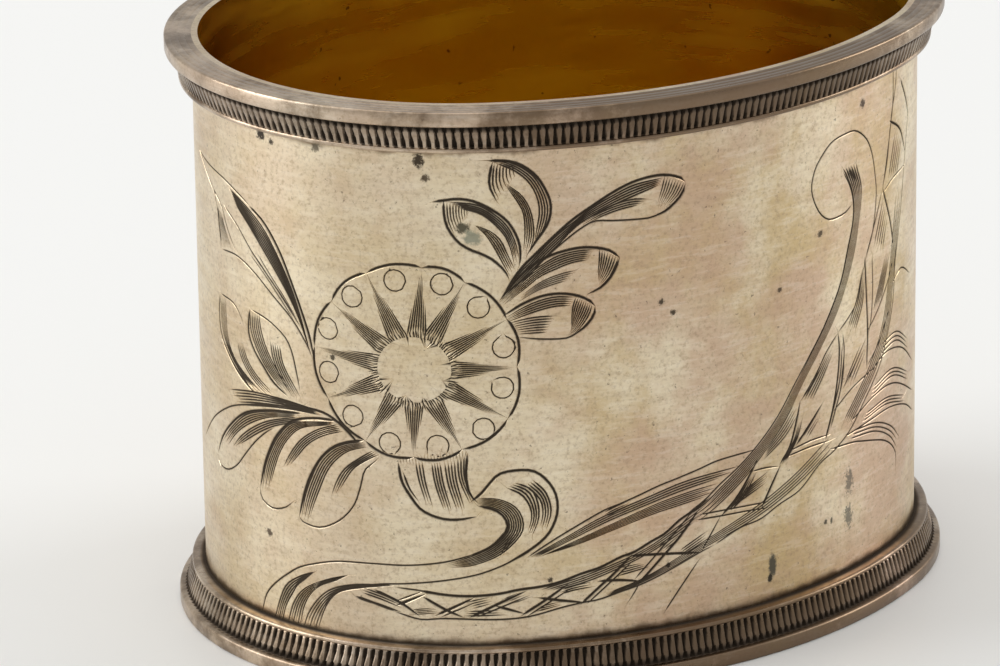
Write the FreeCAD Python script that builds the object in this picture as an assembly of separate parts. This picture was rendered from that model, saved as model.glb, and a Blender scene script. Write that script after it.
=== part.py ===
import FreeCAD, Part
import math
import os

# Oval napkin ring in silver: a sleeve of rolled sheet with the same moulded, milled wire soldered
# round each end, and a flower, leaves and a ribbon scroll cut into the front of the sleeve.
# Lengths are in millimetres. The ring stands on its lower rim: +Z is up, +X runs along the longer
# way of the oval, -Y is the engraved front, and the origin is the middle of the underside.

# Sleeve
height = 37.5
half_length = 24.0
half_width = 18.9
wall = 0.4
join_angle = 60.0

# Rim wire, measured outwards from the sleeve and inwards from the end of the ring
flange_reach = 1.7
flange_thickness = 0.95
bead_reach = 0.87
bead_height = 0.3
milling_height = 1.55
milling_reach = 1.36
milling_slope = 0.56
notch_depth = 0.3
notch_pitch = 0.49

# Engraving on the face of the sleeve
bold_line = 0.34
fine_line = 0.22
line_depth = 0.12
cutter_rise = 0.08
line_step = 3.2
least_points = 4

# Flower: its middle, as distance along the wall from the middle of the front and height
flower_along = -20.6
flower_height = 20.9
flower_radius = 6.2
petal_count = 12
petal_bulge = 0.45
petal_points = 2
hub_radius = 2.25
hub_points = 10
hub_drop = 0.25
furrow_width = 1.1

# Leaves, as the points their cut lines pass through, each a distance along the wall and a height
leaf_lines = {
    "top_right_edge": [(-15.9, 34.0), (-14.3, 33.8), (-12.6, 32.2), (-12.3, 30.0), (-13.6, 27.9)],
    "top_left_edge": [(-15.9, 34.0), (-15.8, 32.8), (-15.4, 31.4)],
    "left_upper_edge": [(-18.9, 31.5), (-16.6, 31.3), (-14.7, 29.8), (-14.1, 27.2)],
    "left_lower_edge": [(-18.9, 31.5), (-18.2, 29.5), (-16.5, 28.1), (-14.9, 26.8)],
    "long_upper_edge": [(-3.2, 31.2), (-4.4, 32.0), (-6.9, 32.0), (-9.5, 31.1), (-13.2, 28.0)],
    "long_lower_edge": [(-3.2, 31.2), (-4.9, 30.1), (-7.3, 29.5), (-10.5, 29.5), (-12.3, 28.5), (-15.3, 25.5)],
    "middle_upper_edge": [(-15.4, 24.9), (-13.9, 26.3), (-12.2, 27.5), (-9.6, 28.0), (-7.8, 27.2)],
    "middle_lower_edge": [(-7.8, 27.2), (-8.6, 25.9), (-10.2, 25.0)],
    "low_upper_edge": [(-15.2, 24.1), (-12.2, 25.3), (-9.3, 24.4)],
    "low_lower_edge": [(-9.3, 24.4), (-10.2, 22.9), (-11.6, 22.4), (-13.9, 22.7)],
    "blade_upper_edge": [(-39.8, 30.9), (-35.9, 30.2), (-32.5, 29.0), (-29.8, 26.5), (-27.5, 20.8)],
    "blade_turned_edge": [(-39.8, 30.9), (-37.4, 29.4), (-36.3, 27.5), (-36.0, 25.6)],
    "blade_lower_edge": [(-36.0, 25.6), (-34.1, 25.6), (-30.6, 23.8), (-27.8, 20.6)],
    "upright_right_edge": [(-32.7, 22.6), (-30.4, 21.8), (-28.9, 20.7), (-28.4, 18.8), (-27.7, 17.4)],
    "upright_left_edge": [(-32.7, 22.6), (-33.0, 20.8), (-31.7, 18.8), (-28.6, 17.4)],
    "outer_right_edge": [(-36.5, 22.6), (-34.4, 22.2), (-33.2, 21.1)],
    "outer_left_edge": [(-36.5, 22.6), (-36.7, 20.8), (-35.0, 18.7), (-31.7, 16.9)],
    "branch": [(-24.7, 16.0), (-26.5, 17.2), (-30.1, 17.0), (-34.7, 16.0), (-38.6, 13.5), (-40.1, 11.7)],
    "far_droop": [(-31.4, 16.5), (-35.2, 14.6), (-37.4, 11.8), (-36.0, 11.0), (-33.4, 13.3), (-30.4, 15.8)],
    "mid_droop": [(-27.7, 16.7), (-29.7, 15.4), (-31.7, 12.8), (-32.0, 10.3), (-30.6, 10.1), (-28.8, 11.1)],
    "near_droop": [(-24.5, 15.6), (-26.8, 14.1), (-28.6, 10.3), (-27.1, 9.6), (-25.0, 11.0), (-23.1, 14.5)],
    "stem_left": [(-21.6, 14.7), (-20.9, 12.4), (-19.0, 11.1), (-16.7, 11.1)],
}

# The scroll under the flower and the ribbon that climbs to the right
scroll_lines = {
    "lower_fold": [(-17.4, 15.2), (-17.2, 12.4), (-15.4, 11.3), (-15.3, 9.8), (-19.2, 8.2), (-25.7, 7.6),
                   (-29.6, 6.3), (-32.2, 3.2)],
    "curl": [(-16.9, 12.6), (-15.5, 13.9), (-13.1, 13.8), (-11.9, 12.1), (-13.1, 9.4), (-17.9, 7.1), (-25.1, 5.7)],
    "ribbon_upper": [(-24.4, 5.6), (-20.0, 6.2), (-13.0, 6.3), (-6.6, 8.0), (0.9, 12.1), (6.0, 17.4), (9.9, 23.0),
                     (10.8, 27.2), (9.7, 29.4)],
    "ribbon_lower": [(-24.4, 5.0), (-20.0, 4.5), (-14.3, 4.4), (-6.6, 5.3), (0.5, 7.9), (8.3, 11.7), (13.1, 15.6),
                     (17.0, 21.0), (18.6, 27.0), (19.0, 34.0)],
    "loop": [(10.4, 26.9), (8.6, 26.5), (6.7, 28.3), (7.4, 30.8), (9.8, 31.7), (12.6, 30.3), (13.3, 26.5),
             (11.8, 22.0), (9.5, 19.2)],
    "ribbon_inner": [(15.8, 34.0), (15.4, 30.5), (14.3, 26.6), (12.7, 23.4)],
    "feather": [(-14.0, 8.4), (-9.2, 11.0), (-3.9, 12.4), (1.6, 13.1)],
    "low_sprig": [(8.6, 11.5), (12.2, 10.9), (15.4, 8.9), (16.8, 7.2)],
    "high_sprig": [(10.8, 12.6), (14.2, 12.5), (17.8, 11.2), (19.2, 10.1)],
}

# What follows from the sizes above
join = math.radians(join_angle)
centre_gap = (half_length - half_width) / (math.cos(join) + math.sin(join) - 1.0)
end_radius = half_width - centre_gap * (1.0 - math.sin(join))
side_radius = end_radius + centre_gap
side_half_arc = side_radius * (math.pi / 2.0 - join)
end_arc = end_radius * 2.0 * join
perimeter = 4.0 * side_half_arc + 2.0 * end_arc
rim_depth = flange_thickness + milling_height + bead_height


def wall_point(along, up, out=0.0):
    """Give the point that lies a distance along the wall from the middle of the front."""
    side = math.copysign(1.0, along)
    run = abs(along)
    if run <= side_half_arc:
        angle = run / side_radius - math.pi / 2.0
        centre = (0.0, side_radius - half_width)
        radius = side_radius
    elif run <= side_half_arc + end_arc:
        angle = (run - side_half_arc) / end_radius - join
        centre = (half_length - end_radius, 0.0)
        radius = end_radius
    else:
        angle = (run - side_half_arc - end_arc) / side_radius + join
        centre = (0.0, half_width - side_radius)
        radius = side_radius
    x = centre[0] + (radius + out) * math.cos(angle)
    y = centre[1] + (radius + out) * math.sin(angle)
    return FreeCAD.Vector(side * x, y, up)


def ring(profile):
    """Sweep a profile of (outward, up) points round the four arcs of the oval."""
    end_offset = half_length - end_radius
    side_offset = side_radius - half_width
    end_sweep = 2.0 * join_angle
    side_sweep = 180.0 - end_sweep
    arcs = [
        ((end_offset, 0.0), end_radius, -join_angle, end_sweep),
        ((0.0, -side_offset), side_radius, join_angle, side_sweep),
        ((-end_offset, 0.0), end_radius, 180.0 - join_angle, end_sweep),
        ((0.0, side_offset), side_radius, 180.0 + join_angle, side_sweep),
    ]
    pieces = []
    for centre, radius, start, sweep in arcs:
        axis_point = FreeCAD.Vector(centre[0], centre[1], 0.0)
        points = [FreeCAD.Vector(centre[0] + radius + out, centre[1], up) for out, up in profile]
        section = Part.Face(Part.makePolygon(points + points[:1]))
        section.rotate(axis_point, FreeCAD.Vector(0, 0, 1), start)
        pieces.append(section.revolve(axis_point, FreeCAD.Vector(0, 0, 1), sweep))
    return pieces[0].fuse(pieces[1:]).removeSplitter()


def oval_block(bottom, top):
    """Make a solid block whose side is the outer face of the sleeve."""
    turn = side_half_arc + end_arc
    stops = [
        (-side_half_arc, 0.0, side_half_arc),
        (side_half_arc, side_half_arc + end_arc / 2.0, turn),
        (turn, perimeter / 2.0, -turn),
        (-turn, -side_half_arc - end_arc / 2.0, -side_half_arc),
    ]
    edges = []
    for start, middle, end in stops:
        edges.append(Part.Arc(*[wall_point(along, bottom) for along in (start, middle, end)]).toShape())
    return Part.Face(Part.Wire(edges)).extrude(FreeCAD.Vector(0, 0, top - bottom))


def notched_outline(crest, up):
    """Give the closed zigzag outline of the milled band at one height."""
    count = round(perimeter / notch_pitch)
    step = perimeter / count
    points = []
    for index in range(count):
        along = index * step - perimeter / 2.0
        points.append(wall_point(along, up, crest))
        points.append(wall_point(along + step / 2.0, up, crest - notch_depth))
    return Part.makePolygon(points + points[:1])


def rim(from_bottom):
    """Make one rim wire, soldered round an end of the sleeve: flange, milled band and bead."""
    def level(depth):
        return depth if from_bottom else height - depth

    milling_start = flange_thickness
    milling_end = flange_thickness + milling_height
    flange = ring([(out, level(depth)) for out, depth in [
        (0.0, 0.0),
        (0.0, milling_start),
        (flange_reach, milling_start),
        (flange_reach, 0.0),
    ]])
    bead = ring([(out, level(depth)) for out, depth in [
        (0.0, milling_end),
        (bead_reach, milling_end),
        (bead_reach, rim_depth),
        (0.0, rim_depth),
    ]])
    band = Part.makeLoft([
        notched_outline(milling_reach, level(milling_start)),
        notched_outline(milling_reach - milling_slope, level(milling_end)),
    ], True, True)
    core = oval_block(level(milling_start), level(milling_end))
    return flange.fuse([band.cut(core), bead]).removeSplitter()


def sleeve():
    """Make the plain sleeve, which ends flush with the flat face of each rim."""
    return ring([
        (-wall, 0.0),
        (0.0, 0.0),
        (0.0, height),
        (-wall, height),
    ])


def smooth_line(points):
    """Run a smooth curve through a few points and give it back as short straight steps."""
    curve = Part.BSplineCurve()
    curve.interpolate([FreeCAD.Vector(along, up, 0.0) for along, up in points])
    count = max(least_points, round(curve.length() / line_step) + 1)
    return [(point.x, point.y) for point in curve.toShape().discretize(Number=count)]


def groove_section(before, here, after, width):
    """Give the left, right and bottom corners of a V-shaped cutter at one point of a cut line."""
    run = math.hypot(after[0] - before[0], after[1] - before[1])
    across = ((before[1] - after[1]) / run, (after[0] - before[0]) / run)
    reach = width / 2.0 * (line_depth + cutter_rise) / line_depth
    corners = [(here[0] + side * reach * across[0], here[1] + side * reach * across[1]) for side in (1, -1)]
    left, right = [wall_point(along, up, cutter_rise) for along, up in corners]
    return left, right, wall_point(here[0], here[1], -line_depth)


def triangle(first, second, third):
    """Make one flat three-cornered face."""
    return Part.Face(Part.makePolygon([first, second, third, first]))


def side_faces(near, far):
    """Join two sections of a cutter with two faces for each of its three sides."""
    faces = []
    for index in range(len(near)):
        following = (index + 1) % len(near)
        faces.append(triangle(near[index], near[following], far[index]))
        faces.append(triangle(near[following], far[following], far[index]))
    return faces


def solid_from(faces):
    """Close faces into a solid that has its inside on the right side."""
    solid = Part.Solid(Part.Shell(faces))
    if solid.Volume < 0.0:
        solid.reverse()
    return solid


def open_groove(line, width):
    """Make the cutter for a line that thins away to a point at both ends."""
    sections = []
    for index in range(1, len(line) - 1):
        sections.append(groove_section(line[index - 1], line[index], line[index + 1], width))
    faces = []
    for near, far in zip(sections, sections[1:]):
        faces.extend(side_faces(near, far))
    for tip, section in ((line[0], sections[0]), (line[-1], sections[-1])):
        point = wall_point(tip[0], tip[1], cutter_rise)
        for index in range(len(section)):
            faces.append(triangle(point, section[index], section[(index + 1) % len(section)]))
    return solid_from(faces)


def closed_groove(line, width):
    """Make the cutter for a line that runs round to where it began."""
    count = len(line)
    sections = []
    for index in range(count):
        sections.append(groove_section(line[index - 1], line[index], line[(index + 1) % count], width))
    faces = []
    for index in range(count):
        faces.extend(side_faces(sections[index], sections[(index + 1) % count]))
    return solid_from(faces)


def polar(radius, turn):
    """Give the wall place at a radius and an angle from the middle of the flower."""
    return (flower_along + radius * math.cos(turn), flower_height + radius * math.sin(turn))


def flower_cutters():
    """Make the flower: its scalloped edge, its hub and the furrows between petals."""
    petal = 2.0 * math.pi / petal_count
    edge = []
    for index in range(petal_count * petal_points):
        share = index % petal_points / petal_points
        radius = flower_radius + petal_bulge * math.sin(math.pi * share)
        edge.append(polar(radius, index * petal / petal_points))
    hub = []
    for index in range(hub_points):
        along, up = polar(hub_radius, 2.0 * math.pi * index / hub_points)
        hub.append((along, up - hub_drop))
    cutters = [closed_groove(edge, bold_line), closed_groove(hub, fine_line)]
    for index in range(petal_count):
        stops = (hub_radius + fine_line + hub_drop, hub_radius + furrow_width, flower_radius - bold_line)
        cutters.append(open_groove([polar(radius, index * petal) for radius in stops], furrow_width))
    return cutters


def engraved(blank):
    """Cut the flower, leaves and scroll into the front of the sleeve."""
    cutters = flower_cutters()
    for line in list(leaf_lines.values()) + list(scroll_lines.values()):
        cutters.append(open_groove(smooth_line(line), bold_line))
    return blank.cut(cutters)


os.makedirs("parts", exist_ok=True)
nodes = {
    "sleeve": engraved(sleeve()),
    "lower_rim": rim(True),
    "upper_rim": rim(False),
}
for name, solid in nodes.items():
    solid.exportStep("parts/" + name + ".step")
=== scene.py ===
"""Looks of an oval silver napkin ring: an engraved sleeve, gilt inside, and a milled wire round each end."""

import logging
import math
from dataclasses import dataclass, field
from enum import Enum

import bmesh
import bpy
import numpy as np
from mathutils import Matrix, Vector
from mathutils.geometry import delaunay_2d_cdt
from mathutils.kdtree import KDTree

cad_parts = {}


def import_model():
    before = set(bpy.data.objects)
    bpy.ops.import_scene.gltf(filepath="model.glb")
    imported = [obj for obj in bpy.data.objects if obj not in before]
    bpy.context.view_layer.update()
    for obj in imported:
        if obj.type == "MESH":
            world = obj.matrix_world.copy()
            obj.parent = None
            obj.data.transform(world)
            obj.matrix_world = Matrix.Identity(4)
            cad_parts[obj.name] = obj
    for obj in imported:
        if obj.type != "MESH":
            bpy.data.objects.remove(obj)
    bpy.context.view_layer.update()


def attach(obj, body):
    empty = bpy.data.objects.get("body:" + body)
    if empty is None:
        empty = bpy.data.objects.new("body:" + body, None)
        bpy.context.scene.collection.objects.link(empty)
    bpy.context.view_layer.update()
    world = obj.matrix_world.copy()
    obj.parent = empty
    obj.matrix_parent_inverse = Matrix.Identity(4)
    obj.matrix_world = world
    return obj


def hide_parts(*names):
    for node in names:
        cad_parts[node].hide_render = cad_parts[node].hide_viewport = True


MILLIMETRE = 0.001
LOG = logging.getLogger("napkin_ring")

Place = tuple[float, float]
Places = tuple[Place, ...]
Paths = tuple[Places, ...]
Triple = tuple[float, float, float]
Socket = bpy.types.NodeSocket


class RingEnd(Enum):
    """The end of the ring that a rim wire is soldered round."""

    LOWER = "lower"
    UPPER = "upper"


@dataclass(frozen=True)
class Oval:
    """The four-centred oval that the wall follows, in millimetres."""

    half_length: float = 24.0
    half_width: float = 18.9
    join: float = math.radians(60.0)

    @property
    def centre_gap(self) -> float:
        """Difference between the radii of the flat sides and the round ends."""
        return (self.half_length - self.half_width) / (math.cos(self.join) + math.sin(self.join) - 1.0)

    @property
    def end_radius(self) -> float:
        """Radius of the two round ends."""
        return self.half_width - self.centre_gap * (1.0 - math.sin(self.join))

    @property
    def side_radius(self) -> float:
        """Radius of the two flatter sides."""
        return self.end_radius + self.centre_gap

    @property
    def side_half_arc(self) -> float:
        """Distance along the wall from the middle of the front to the first change of radius."""
        return self.side_radius * (math.pi / 2.0 - self.join)

    @property
    def end_arc(self) -> float:
        """Distance along the wall round one of the ends."""
        return self.end_radius * 2.0 * self.join

    @property
    def perimeter(self) -> float:
        """Distance right round the wall."""
        return 4.0 * self.side_half_arc + 2.0 * self.end_arc

    def frame(self, along: np.ndarray) -> tuple[np.ndarray, np.ndarray, np.ndarray, np.ndarray]:
        """Find the wall's outer face and its outward direction.

        Args:
            along: distances along the wall from the middle of the front.

        Returns:
            The x and y of the face, and the x and y of the outward direction.
        """
        side = np.where(along < 0.0, -1.0, 1.0)
        run = np.abs(along)
        turn = self.side_half_arc + self.end_arc
        front = run <= self.side_half_arc
        back = run > turn
        on_front = run / self.side_radius - math.pi / 2.0
        on_end = (run - self.side_half_arc) / self.end_radius - self.join
        on_back = (run - turn) / self.side_radius + self.join
        angle = np.where(back, on_back, np.where(front, on_front, on_end))
        radius = np.where(front | back, self.side_radius, self.end_radius)
        centre_x = np.where(front | back, 0.0, self.half_length - self.end_radius)
        centre_y = np.where(front, self.side_radius - self.half_width, 0.0)
        centre_y = np.where(back, self.half_width - self.side_radius, centre_y)
        out_x = np.cos(angle)
        out_y = np.sin(angle)
        return side * (centre_x + radius * out_x), centre_y + radius * out_y, side * out_x, out_y

    def wrap(self, along: np.ndarray, up: np.ndarray, out: np.ndarray) -> np.ndarray:
        """Bend places on the unrolled wall round the oval.

        Args:
            along: distances along the wall.
            up: heights above the underside.
            out: distances outwards from the wall's outer face.

        Returns:
            An array of points in metres.
        """
        face_x, face_y, out_x, out_y = self.frame(along)
        return np.stack([face_x + out * out_x, face_y + out * out_y, up], axis=1) * MILLIMETRE


@dataclass(frozen=True)
class Tool:
    """A way of cutting a line: its width, its depth and the lengths over which its two ends thin away."""

    width: float
    depth: float
    start_taper: float
    end_taper: float


BOLD_TOOL = Tool(0.25, 0.11, 0.35, 1.2)
THIN_TOOL = Tool(0.17, 0.075, 0.6, 1.2)
SCALLOP_TOOL = Tool(0.25, 0.11, 0.25, 0.25)
BROOM_TOOL = Tool(0.15, 0.09, 0.1, 1.5)
TOOTH_TOOL = Tool(0.13, 0.075, 0.0, 0.25)
DOT_TOOL = Tool(0.12, 0.075, 0.0, 0.0)


@dataclass(frozen=True)
class Stroke:
    """One cut of the graver: a V-shaped groove along a line on the wall, in millimetres."""

    line: np.ndarray
    tool: Tool
    room: np.ndarray | None = None
    thinnest: float = 0.25

    def shares(self) -> np.ndarray:
        """Give how full the groove is at each of its points, from 0 to 1."""
        run = np.concatenate([[0.0], np.cumsum(np.hypot(*np.diff(self.line, axis=0).T))])
        full = np.ones(len(run))
        start = np.clip(run / self.tool.start_taper, 0.0, 1.0) if self.tool.start_taper else full
        end = np.clip((run[-1] - run) / self.tool.end_taper, 0.0, 1.0) if self.tool.end_taper else full
        return self.thinnest + (1.0 - self.thinnest) * np.sqrt(np.minimum(start, end))

    def halves(self) -> np.ndarray:
        """Give half the groove's width at each point, narrowed where its neighbours leave little room."""
        full = self.tool.width / 2.0 * self.shares()
        return full if self.room is None else full * np.clip(0.95 * self.room / self.tool.width, 0.4, 1.0)


class Graver:
    """Draws the strokes of an ornament on the unrolled wall."""

    def __init__(self, step: float = 0.42, shortest_step: float = 0.01) -> None:
        """Start with no strokes. Args: the spacing of a stroke's points, and the least step that is cut."""
        self.step = step
        self.shortest_step = shortest_step
        self.strokes: list[Stroke] = []

    def engrave(self, stroke: Stroke) -> None:
        """Add a stroke, unless two of its points fall together. Args: the stroke."""
        if np.hypot(*np.diff(stroke.line, axis=0).T).min() > self.shortest_step:
            self.strokes.append(stroke)

    def smooth(self, places: Places) -> np.ndarray:
        """Run a smooth curve through a few places.

        Args:
            places: the places that the curve passes through.

        Returns:
            Points a step apart along the curve.
        """
        points = np.array(places, float)
        padded = np.vstack([2.0 * points[0] - points[1], points, 2.0 * points[-1] - points[-2]])
        share = np.linspace(0.0, 1.0, 12, endpoint=False)[:, None]
        runs = []
        for index in range(len(points) - 1):
            before, here, after, beyond = padded[index:index + 4]
            runs.append(0.5 * (2.0 * here + (after - before) * share
                               + (2.0 * before - 5.0 * here + 4.0 * after - beyond) * share ** 2
                               + (3.0 * here - before - 3.0 * after + beyond) * share ** 3))
        curve = np.vstack(runs + [points[-1:]])
        length = np.hypot(*np.diff(curve, axis=0).T).sum()
        return self.spaced(curve, max(3, round(length / self.step) + 1))

    @staticmethod
    def spaced(curve: np.ndarray, count: int, end: float = 1.0) -> np.ndarray:
        """Place evenly spaced points on a curve.

        Args:
            curve: the points of the curve.
            count: how many points to place.
            end: share of the curve's length where they end.

        Returns:
            The new points.
        """
        run = np.concatenate([[0.0], np.cumsum(np.hypot(*np.diff(curve, axis=0).T))])
        wanted = np.linspace(0.0, end, count) * run[-1]
        return np.stack([np.interp(wanted, run, curve[:, 0]), np.interp(wanted, run, curve[:, 1])], axis=1)

    def cut(self, places: Places, tool: Tool) -> None:
        """Cut one smooth line. Args: the places it passes through and the tool."""
        self.engrave(Stroke(self.smooth(places), tool))


@dataclass(frozen=True)
class Bundle:
    """Fine lines that share out the space between two curves on the wall."""

    first: Places
    last: Places
    count: int
    width: float = 0.16
    depth: float = 0.08
    ends: tuple[float, float] = (1.0, 1.0)
    shortened: float = 0.05

    def draw(self, graver: Graver) -> None:
        """Cut the lines with the graver, every second one a little shorter."""
        tool = Tool(self.width, self.depth, 0.5, 1.4)
        one = graver.smooth(self.first)
        two = graver.smooth(self.last)
        size = max(len(one), len(two))
        for index in range(self.count):
            share = index / max(self.count - 1, 1)
            end = self.ends[0] + (self.ends[1] - self.ends[0]) * share - self.shortened * (index % 2)
            number = max(3, round(size * end))
            near = graver.spaced(one, number, end)
            far = graver.spaced(two, number, end)
            room = np.hypot(*(far - near).T) / max(self.count - 1, 1)
            graver.engrave(Stroke((1.0 - share) * near + share * far, tool, room))


@dataclass(frozen=True)
class Motif:
    """One leaf, stem or strap: its bold outlines, its thin outlines and the bundles that shade it."""

    name: str
    bold: Paths = ()
    thin: Paths = ()
    bundles: tuple[Bundle, ...] = ()

    def draw(self, graver: Graver) -> None:
        """Cut the motif with the graver."""
        for line in self.bold:
            graver.cut(line, BOLD_TOOL)
        for line in self.thin:
            graver.cut(line, THIN_TOOL)
        for bundle in self.bundles:
            bundle.draw(graver)


@dataclass
class Flower:
    """The flower: scalloped edge, hub, a broom of lines below each notch and a ring of dots on each petal."""

    centre: Place = (-20.6, 20.9)
    hub: Place = (-20.6, 20.65)
    hub_size: Place = (2.35, 2.15)
    notches: Places = (
        (-23.5, 26.6), (-20.0, 27.2), (-17.4, 26.3), (-14.9, 23.9), (-14.3, 20.8), (-14.9, 17.5),
        (-17.7, 15.6), (-20.7, 15.0), (-23.8, 15.8), (-26.3, 18.2), (-27.2, 21.4), (-25.9, 24.5))
    rings: Places = (
        (-21.7, 26.3), (-18.8, 26.2), (-16.6, 24.7), (-15.1, 22.1), (-15.2, 19.5), (-16.4, 16.9),
        (-19.2, 15.8), (-22.2, 15.8), (-24.6, 17.3), (-26.2, 19.9), (-26.2, 22.7), (-24.5, 25.0))
    petal_bulge: float = 0.42
    ring_radius: float = 0.68
    ring_dots: int = 11
    broom_lines: int = 8
    broom_spread: float = 0.235
    broom_room: float = 0.155
    tip_room: float = 0.045
    tip_half_width: float = 0.16
    hub_teeth: int = 84

    def hub_place(self, turn: float, grow: float = 0.0) -> Place:
        """Give the place on the hub's edge at an angle, or a little outside it."""
        along = self.hub[0] + (self.hub_size[0] + grow) * math.cos(turn)
        return along, self.hub[1] + (self.hub_size[1] + grow) * math.sin(turn)

    def draw(self, graver: Graver) -> None:
        """Cut the whole flower with the graver."""
        for index, start in enumerate(self.notches):
            self.draw_scallop(graver, start, self.notches[(index + 1) % len(self.notches)])
            self.draw_broom(graver, start, index)
        for index, ring in enumerate(self.rings):
            self.draw_dots(graver, ring, 0.7 * index)
        for index in range(self.hub_teeth):
            turn = 2.0 * math.pi * (index + 0.3 * math.sin(5.0 * index)) / self.hub_teeth
            tooth = 0.32 + 0.22 * abs(math.sin(2.3 * index))
            line = np.linspace(self.hub_place(turn, -0.04), self.hub_place(turn + 0.03, tooth), 3)
            graver.engrave(Stroke(line, TOOTH_TOOL))

    def draw_scallop(self, graver: Graver, start: Place, end: Place) -> None:
        """Cut the bulging outer edge of one petal. Args: the graver and the edge's two ends."""
        one, two, middle = np.array(start), np.array(end), np.array(self.centre)
        places = []
        for share in (0.0, 0.2, 0.5, 0.8, 1.0):
            chord = one + (two - one) * share
            outward = (chord - middle) / np.hypot(*(chord - middle))
            bulge = self.petal_bulge * (1.0 - (2.0 * share - 1.0) ** 2)
            places.append(tuple(chord + outward * bulge))
        graver.cut(tuple(places), SCALLOP_TOOL)

    def draw_broom(self, graver: Graver, notch: Place, number: int) -> None:
        """Cut the lines that spread over the hub's edge and close up at a notch.

        Args:
            graver: the graver.
            notch: the place where the lines meet.
            number: the number of the notch, which varies the lines' lengths.
        """
        away = (notch[0] - self.hub[0], notch[1] - self.hub[1])
        turn = math.atan2(away[1] / self.hub_size[1], away[0] / self.hub_size[0])
        side = np.array([-away[1], away[0]]) / math.hypot(*away)
        for index in range(self.broom_lines):
            share = 2.0 * index / (self.broom_lines - 1) - 1.0
            base = np.array(self.hub_place(turn + share * self.broom_spread, 0.1))
            reach = 0.97 - 0.55 * max(abs(share) - 0.2, 0.0) - 0.07 * ((index + number) % 3)
            end = base + (np.array(notch) + side * self.tip_half_width * share - base) * reach
            line = np.linspace(base, end, 7)
            room = np.linspace(self.broom_room, self.broom_room - (self.broom_room - self.tip_room) * reach, 7)
            graver.engrave(Stroke(line, BROOM_TOOL, room))

    def draw_dots(self, graver: Graver, middle: Place, first: float) -> None:
        """Punch the small ring of dots on one petal. Args: the graver, the ring's middle and where it begins."""
        for index in range(self.ring_dots):
            turn = first + 2.0 * math.pi * index / (self.ring_dots + 0.6)
            dot = np.array(middle) + self.ring_radius * np.array([math.cos(turn), math.sin(turn)])
            along = np.array([-math.sin(turn), math.cos(turn)]) * (0.02 + 0.03 * (index % 3))
            graver.engrave(Stroke(np.array([dot - along, dot, dot + along]), DOT_TOOL))


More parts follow.
